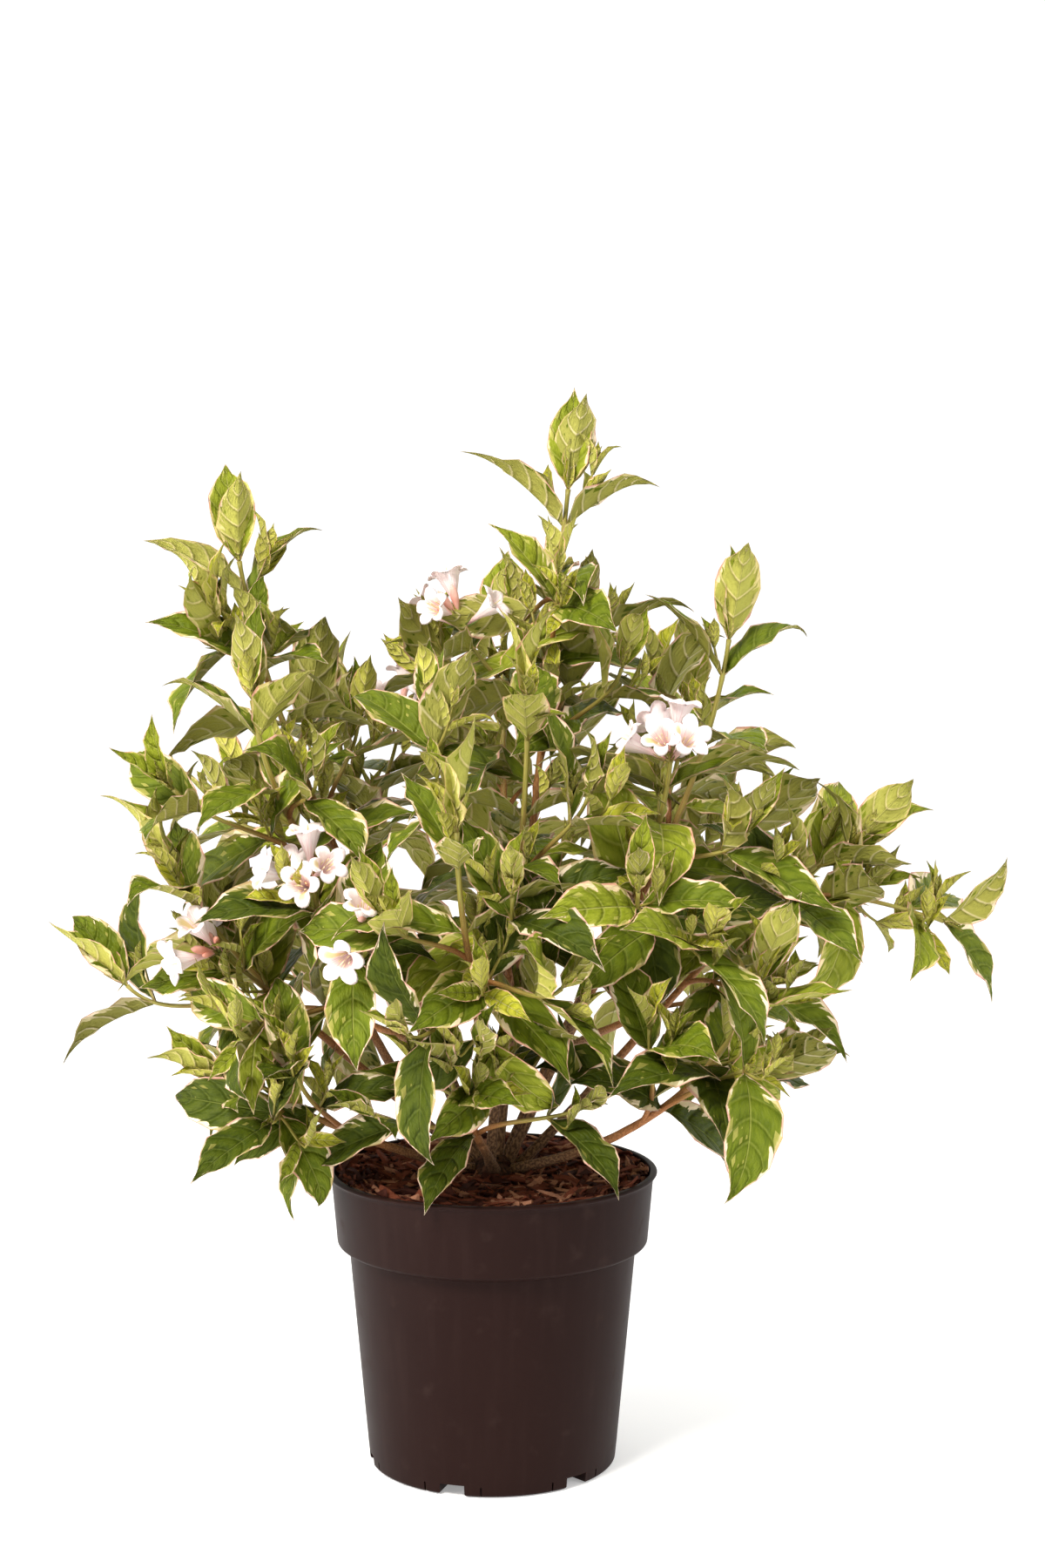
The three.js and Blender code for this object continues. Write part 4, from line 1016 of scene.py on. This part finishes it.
def leaves_piece(name, leaves, shape, rng, replaced=()):
    """Joins leaves of one shape. Each takes one of sixteen patches of the shared map and one of the tints."""
    points = curved(leaves, shape, rng)
    count, corners = points.shape[:2]
    mesh = new_mesh(name, points, copies(shape.faces, count, corners))
    patch = rng.integers(0, PATCHES_ACROSS * PATCHES_UP // 2, count)
    shift = np.stack([patch % PATCHES_ACROSS, patch // PATCHES_ACROSS], 1)[:, None, None]
    set_map(mesh, (shape.maps + shift) / (PATCHES_ACROSS, PATCHES_UP))
    tints = np.repeat([leaf["tint"] for leaf in leaves], len(shape.faces))
    mesh.polygons.foreach_set("material_index", tints.astype(np.int32))
    ends = np.empty(len(mesh.edges) * 2, np.int32)
    mesh.edges.foreach_get("vertices", ends)
    rim = shape.rim[ends.reshape(-1, 2) % corners].all(1)
    mesh.attributes.new("sharp_edge", "BOOLEAN", "EDGE").data.foreach_set("value", rim)
    return new_piece(mesh, replaced, leaf_materials)


def leaf_pattern():
    """A shader group that reads the leaf's own map: across it from margin to margin, and along it row by row.
    Outputs are masks for the side veins, midrib, margin, pale zone beside it, pink edge and under side, the
    mottling with a painted highlight on the quilted pillows between the veins, and the height of the relief."""
    tree = bpy.data.node_groups.new("leaf_pattern", "ShaderNodeTree")
    names = ("Veins", "Midrib", "Margin", "Zone", "Edge", "Under", "MottleAndPillowLight", "Height")
    for name in names:
        tree.interface.new_socket(name, in_out="OUTPUT", socket_type="NodeSocketFloat")
    result = tree.nodes.new("NodeGroupOutput")
    x, y, _ = parts_of(tree, map_place(tree))
    x, y = x * PATCHES_ACROSS, y * PATCHES_UP
    column, line = x.with_("FLOOR"), y.with_("FLOOR")
    under = line.with_("GREATER_THAN", 1.5)
    across = (x - column - 0.04) * (2 / 0.92) - 1
    along = (y - line - 0.02) / 0.96
    sort = column * 3.7 + (line - under * 2) * 31.3
    reach = across.with_("ABSOLUTE")
    flank = across.with_("SIGN")
    width = ((along * (1 - along)).with_("MAXIMUM", 0.0) * 4).with_("POWER", 0.8).with_("MAXIMUM", 0.18)

    def cloud(scale_across, scale_along, detail, shift):
        """Noise over one leaf, unlike on every other and on its other half."""
        inputs = {0: across * scale_across + flank * 5, 1: along * scale_along, 2: sort + shift}
        place = add_node(tree, "CombineXYZ", inputs).outputs[0]
        return noise(tree, 1, detail, place)

    patches = cloud(0.9, 3.0, 1, 7.1).above(0.52, 0.72)
    fingers = (cloud(1.4, 22, 3, 0.5) - 0.36).with_("MAXIMUM", 0.0)
    inward = 0.035 + patches * (0.04 + fingers * 1.1) + fingers * 0.22 + 0.08 * along.above(0.7, 1.0)
    inward = inward / width
    margin = (reach + inward - 1).above(-0.025, 0.025)
    zone = (reach + inward * 1.35 + (cloud(3, 9, 3, 3.3) - 0.45) * 0.5 - 1).above(-0.06, 0.1)
    edge = (reach + 0.05 / width + (cloud(1, 12, 2, 11.9) - 0.5) * 0.12 - 1).above(-0.02, 0.03)
    phase = (along * VEIN_PAIRS + 0.5).with_("FRACT") - 0.5
    vein = 1 - phase.with_("ABSOLUTE").above(0.02, 0.1)
    midrib = 1 - (reach * (width * 0.8 + 0.2)).above(0.012, 0.05)
    quilt = (along * VEIN_PAIRS * 2 * math.pi).with_("COSINE") * -0.5 + 0.5
    crinkle = cloud(9, 22, 3, 17.7)
    groove = 1 - phase.with_("ABSOLUTE").above(0.0, 0.2)
    height = quilt * 0.4 * (1 - reach * 0.5) + crinkle * 0.8 - groove * 0.5 - midrib * 0.6
    # The quilting also lightens the mottling: the pillows between the veins get a painted highlight.
    mottle_and_pillow_light = cloud(5, 12, 4, 23.1) + quilt * 0.24 - 0.1
    values = (vein * (1 - reach * 0.4), midrib, margin, zone, edge, under, mottle_and_pillow_light, height)
    for name, value in zip(names, values):
        tree.links.new(value.socket, result.inputs[name])
    return tree


def leaf_material(name, roughness, *colours):
    """One tint of leaf. colours are the dark middle, its mottling, which is also the painted highlight on the
    quilted pillows between the veins, the zone beside the margin, the margin, the edge, the veins and the
    under side."""
    material, tree, _ = new_material(name, roughness, 0.1)
    group = tree.nodes.new("ShaderNodeGroup")
    group.node_tree = pattern
    mask = {socket.name: Field(tree, socket) for socket in group.outputs}
    dark, light, zone, margin, edge, vein, under = (paint(*colour) for colour in colours)
    # The lighter colour goes on the random mottling and on the painted highlight of the pillows between
    # veins.
    base = mixed(tree, mask["MottleAndPillowLight"].above(0.3, 0.75), dark, light)
    base = mixed(tree, mask["Zone"] * 0.45, base, zone)
    base = mixed(tree, mask["Veins"] * 0.3, base, vein)
    base = mixed(tree, mask["Margin"], base, margin)
    base = mixed(tree, mask["Midrib"] * 0.75, base, vein)
    base = mixed(tree, mask["Edge"] * 0.75, base, edge)
    pale = mixed(tree, mask["Veins"] * 0.4, mixed(tree, 0.65, base, under), margin)
    base = mixed(tree, mask["Under"], base, pale)
    return finished(material, base, mask["Height"] * (1 - 2 * mask["Under"]), 0.002, 0.9)


def deal_tints(leaves, rng):
    """Young leaves are yellow-green. Grown ones are mostly dark green, and the lower and deeper in the crown
    a leaf sits, the likelier it takes a darker tint, down to the darkest: painted shade, where the crown
    shades it."""
    for leaf in leaves:
        # Leaves low down and near the axis are dealt darker tints: painted shade.
        outward = np.linalg.norm(leaf["node"][:2]) / 400 + (leaf["node"][2] - 200) / 300
        chance = rng.uniform()
        if leaf["age"] < 0:
            leaf["tint"] = 0 if chance < 0.6 else 1
        elif leaf["age"] < 2:
            leaf["tint"] = 2 if chance > 0.8 or outward < 0.7 else (1 if chance < 0.65 else 0)
        else:
            leaf["tint"] = 3 if chance > 0.9 * outward - 0.1 else (1 if chance < 0.2 * outward else 2)


pattern = leaf_pattern()
leaf_materials = [leaf_material(*tint) for tint in (
    ("leaf_young", 0.5, (153, 155, 36), (181, 178, 57), (204, 195, 102), (236, 212, 160), (210, 136, 116),
     (222, 216, 146), (198, 192, 96)),
    ("leaf_fresh", 0.48, (114, 124, 24), (138, 146, 41), (175, 172, 78), (240, 216, 170), (212, 140, 122),
     (186, 186, 98), (188, 182, 94)),
    ("leaf_grown", 0.46, (82, 96, 15), (103, 115, 26), (145, 147, 56), (242, 222, 188), (214, 146, 132),
     (142, 148, 66), (173, 166, 85)),
    # the darkest tint: painted shade for leaves low down and deep in the crown
    ("leaf_painted_shade", 0.46, (55, 67, 11), (72, 83, 17), (108, 112, 40), (234, 216, 186), (204, 140, 128),
     (104, 114, 48), (144, 138, 68)),
)]
grown_shape = LeafShape(range(len(ROWS)), GROWN_COLUMNS)
small_shape = LeafShape(SMALL_ROWS, SMALL_COLUMNS)
tint_rng, leaf_rng = np.random.default_rng(7), np.random.default_rng(9)
deal_tints(grown_leaves, tint_rng)
deal_tints(tip_leaves, tint_rng)
for group, masses in GROUPS.items():
    grown = [leaf for leaf in grown_leaves if leaf["mass"] in masses]
    small = [leaf for leaf in tip_leaves if leaf["mass"] in masses]
    leaves_piece(f"leaves_{group}", grown, grown_shape, leaf_rng, [f"foliage_{name}" for name in masses])
    leaves_piece(f"young_leaves_{group}", small, small_shape, leaf_rng)

# ---------------------------------------------------------------- flowers
# Trumpets of the palest pink in clusters at the tips of short shoots: a slender tube that opens into a bell
# and five rounded lobes, with a yellow patch on the lowest lobe and pink streaks in the throat. Between them
# are salmon buds, and each sits in five narrow green sepals.
FLOWER_RADIUS, BELL_RADIUS, LOBE_NOTCH = 14.5, 7.4, 8.6
# The tube's rings, as share of the flower's length and radius, and the lobes' as how far forward and out.
TUBE = ((0, 1.3), (0.1, 1.5), (0.3, 1.9), (0.45, 2.9), (0.6, 4.6), (0.75, 6.3), (0.86, BELL_RADIUS))
LOBE_RINGS = ((0.94, 0.25), (1.0, 0.55), (1.02, 0.82), (0.98, 1.0))
FLOWER_SIDES = 40


def corolla_points(places, rng):
    """Rings from the foot of the tube to the rim of the lobes, then the same rings back inside. In the lobes
    the radius is bell + out (lobe - bell), where lobe runs from the notch to the rounded tip five times
    round."""
    angle = steps_round(FLOWER_SIDES)
    lobe = np.abs(np.cos(2.5 * angle)) ** 0.75
    lobes = LOBE_NOTCH + (FLOWER_RADIUS + 1 - LOBE_NOTCH) * lobe
    forward = [np.full(FLOWER_SIDES, share) for share, _ in TUBE]
    forward += [share - (1 - lobe) * 0.05 * out for share, out in LOBE_RINGS]
    radius = [np.full(FLOWER_SIDES, tube_radius) for _, tube_radius in TUBE]
    radius += [BELL_RADIUS + out * (lobes - BELL_RADIUS) for _, out in LOBE_RINGS]
    forward, radius = np.array(forward), np.array(radius)
    inner_radius = np.maximum(radius - 0.45, 0.6)
    inner_forward = forward + np.linspace(0.0, 0.012, len(forward))[:, None]
    forward = np.concatenate([forward, inner_forward[:0:-1]])
    radius = np.concatenate([radius, inner_radius[:0:-1]])
    count = len(places)
    root, direction, turn = (np.array(part)[:, None, None] for part in zip(*places))
    u, v = axes_round(direction)
    wave = rng.uniform(0, 2 * np.pi, (count, 1, 1))
    far = np.clip((radius - 9) / 6, 0, 1)
    forward = forward + 0.045 * far * np.sin(3 * angle + wave) + 0.03 * far * np.sin(7 * angle + 2 * wave)
    radius = radius * (1 + 0.05 * far * np.sin(2 * angle + wave * 3))
    size = rng.uniform(0.88, 1.06, (count, 1, 1))
    bow = rng.normal(0, 1.6, (count, 1, 1)) * forward**2
    return (root + direction * (4 + forward * (FLOWER_LENGTH - 4) * size)[..., None] + v * bow[..., None]
            + (radius * size)[..., None] * toward(u, v, angle + turn))


def petal_material():
    """Palest pink, pinker down the tube and where it opened from the bud, with streaks that run into the
    throat and a yellow patch on one lobe."""
    material, tree, shader = new_material("petal", 0.5, 0.3)
    place = map_place(tree)
    round_, ring, _ = parts_of(tree, place)
    inside = ring.above(0.505, 0.53)
    depth = ((ring - 0.5).with_("ABSOLUTE") * 2).with_("MINIMUM", 1.0)
    streaks = noise(tree, 1, 2, place, (60, 3, 1))
    base = mixed(tree, streaks.above(0.4, 0.75), paint(244, 231, 229), paint(240, 216, 216))
    base = mixed(tree, depth.above(0.45, 1.0) * (1 - 0.6 * inside), base, paint(226, 164, 152))
    base = mixed(tree, (streaks.above(0.5, 0.62) * depth.above(0.3, 0.6)) * 0.4, base, paint(216, 150, 158))
    patch = (1 - (round_ - 0.4).with_("ABSOLUTE").above(0.02, 0.06)) * depth.above(0.16, 0.36) * inside
    base = mixed(tree, patch * 0.7, base, paint(214, 190, 84))
    # The petals glow faintly in their own colour: painted light that brightens them beyond what the lamps
    # give.
    tree.links.new(base, shader.inputs["Emission Color"])
    shader.inputs["Emission Strength"].default_value = 0.1
    return finished(material, base, streaks, 0.0005)


def corollas_piece(name, places, rng):
    """Every trumpet, closed at its foot and inside. The map has the way round across, and the rings
    upwards."""
    points = corolla_points(places, rng)
    count, rings = points.shape[:2]
    points = np.concatenate([points.reshape(count, -1, 3), points[:, [0, -1]].mean(2)], 1)
    faces = [copies(part, *points.shape[:2]) for part in closed_faces(rings, FLOWER_SIDES)]
    mesh = new_mesh(name, points, *faces)
    maps = closed_maps(np.linspace(0.03, 0.97, rings), FLOWER_SIDES, -0.02)
    set_map(mesh, np.concatenate([np.tile(part[:, ::-1], (count, 1)) for part in maps]))
    return new_piece(mesh, materials=[petals])


def spindles(name, shapes, peak, material, sides=6, bend=0.0):
    """Many slender closed shapes, each from its root, direction, length and radius: it swells from the foot
    to the peak and closes at the tip, as sin(pi share), where share reaches one half at the peak."""
    roots, directions, lengths, radii = (np.array(part, float) for part in zip(*shapes))
    lengths = lengths[:, None]
    share = np.linspace(0, 1, 7)[1:-1]
    swell = np.sin(np.pi * np.where(share < peak, share / peak / 2, 0.5 + (share - peak) / (1 - peak) / 2))
    u, v = axes_round(directions)
    centre = roots[:, None] + directions[:, None] * (share * lengths)[..., None]
    centre = centre + v[:, None] * (bend * share**2 * lengths)[..., None]
    radius = (radii[:, None] * swell)[..., None, None]
    ring = centre[:, :, None] + radius * toward(u[:, None, None], v[:, None, None], steps_round(sides))
    tips = roots + directions * lengths + v * (bend * lengths)
    points = np.concatenate([ring.reshape(len(roots), -1, 3), roots[:, None], tips[:, None]], 1)
    faces = [copies(part, *points.shape[:2]) for part in closed_faces(len(share), sides)]
    return new_piece(new_mesh(name, points, *faces), materials=[material])


def plain_material(name, first, second, scale, roughness):
    """A flat colour that drifts a little over each piece."""
    material, tree, _ = new_material(name, roughness, 0.35)
    drift = noise(tree, scale, 2).above(0.35, 0.65)
    return finished(material, mixed(tree, drift, paint(*first), paint(*second)))


def flower_parts(places, rng):
    """Sepals round every tube, a style in its throat with five stamens round it, and two buds beside every
    second flower."""
    sepals, styles, buds = [], [], []
    for number, (root, direction, turn) in enumerate(places):
        u, v = axes_round(direction)
        fifths = [turn + 2 * math.pi * k / 5 for k in range(5)]
        for angle in fifths:
            out = toward(u, v, angle)
            way = unit(direction + out * rng.uniform(0.15, 0.5))
            sepals.append((root + direction * 3 + out * 1.2, way, 11, 0.75))
        styles.append((root + direction * 18, direction, 19, 0.45))
        for angle in fifths:
            out = toward(u, v, angle + 0.6)
            styles.append((root + direction * 20 + out * 2.5, unit(direction + out * 0.12), 9, 0.5))
        sepals.append((root - direction * 2, direction, 12, 1.5))
        if number % 2 == 0:
            for _ in range(2):
                lean = unit(direction + rng.normal(0, 0.45, 3))
                size = rng.uniform(0.55, 1)
                buds.append((root + lean * 3, lean, 24 * size, 3.1 * size))
                sepals.append((root, lean, 8, 1.4))
    return sepals, styles, buds


flower_rng = np.random.default_rng(13)
petals = petal_material()
corollas_piece("corollas", flowers, flower_rng)
sepals, styles, buds = flower_parts(flowers, flower_rng)
green = plain_material("sepal_green", (96, 116, 48), (150, 130, 74), 60, 0.55)
cream = plain_material("style_cream", (236, 226, 190), (214, 196, 140), 60, 0.5)
salmon = plain_material("bud_salmon", (226, 152, 132), (236, 186, 172), 90, 0.5)
spindles("sepals", sepals, 0.3, green, bend=0.12)
spindles("styles", styles, 0.85, cream)
spindles("buds", buds, 0.72, salmon, sides=8)

# ---------------------------------------------------------------- floor and lights
# A white studio sweep that glows a little from below, white all round but dimmer in front, and one broad lamp
# high in front on the left, with weaker ones on the right and low on the left.
floor_points = [(x, y, -0.5) for x, y in ((-9000, -6000), (9000, -6000), (9000, 12000), (-9000, 12000))]
floor_mesh = new_mesh("floor", floor_points, np.array([(0, 1, 2, 3)]))
floor_material, _, floor_shader = new_material("floor_white", 0.9, 0.1)
floor_shader.inputs["Base Color"].default_value = (0.9, 0.9, 0.9, 1)
floor_shader.inputs["Emission Color"].default_value = (1, 1, 1, 1)
floor_shader.inputs["Emission Strength"].default_value = 0.3
floor_mesh.materials.append(floor_material)
floor = bpy.data.objects.new("floor", floor_mesh)
scene.collection.objects.link(floor)

world = bpy.data.worlds.new("surround")
scene.world = world
world.use_nodes = True
sky = world.node_tree
heading = parts_of(sky, add_node(sky, "TexCoord").outputs["Generated"])[1]
sky.links.new(mixed(sky, heading.above(-0.5, 0.3), (0.5, 0.49, 0.47, 1), (1.15, 1.15, 1.15, 1)),
              sky.nodes["Background"].inputs["Color"])


def add_lamp(name, place, target, size, power, colour=(1, 1, 1)):
    """A round lamp: its place, the point it shines at and its size in metres, and its power in watts."""
    data = bpy.data.lights.new(name, "AREA")
    data.shape = "DISK"
    data.size, data.energy, data.color = size, power, colour
    lamp = bpy.data.objects.new(name, data)
    lamp.location = place
    aim = np.array(target) - place
    lamp.rotation_euler = (math.atan2(math.hypot(aim[0], aim[1]), -aim[2]), 0, math.atan2(-aim[0], aim[1]))
    scene.collection.objects.link(lamp)


add_lamp("key", (-0.9, -1.3, 1.9), (0, 0, 0.35), 0.8, 60, (1, 0.97, 0.92))
add_lamp("fill", (1.5, -1.0, 1.0), (0, 0, 0.35), 1.0, 11)
add_lamp("low_left", (-1.3, -0.6, 0.3), (0, 0, 0.1), 0.6, 9, (1, 0.93, 0.9))
scene.view_settings.view_transform = "Standard"
scene.view_settings.look = "None"
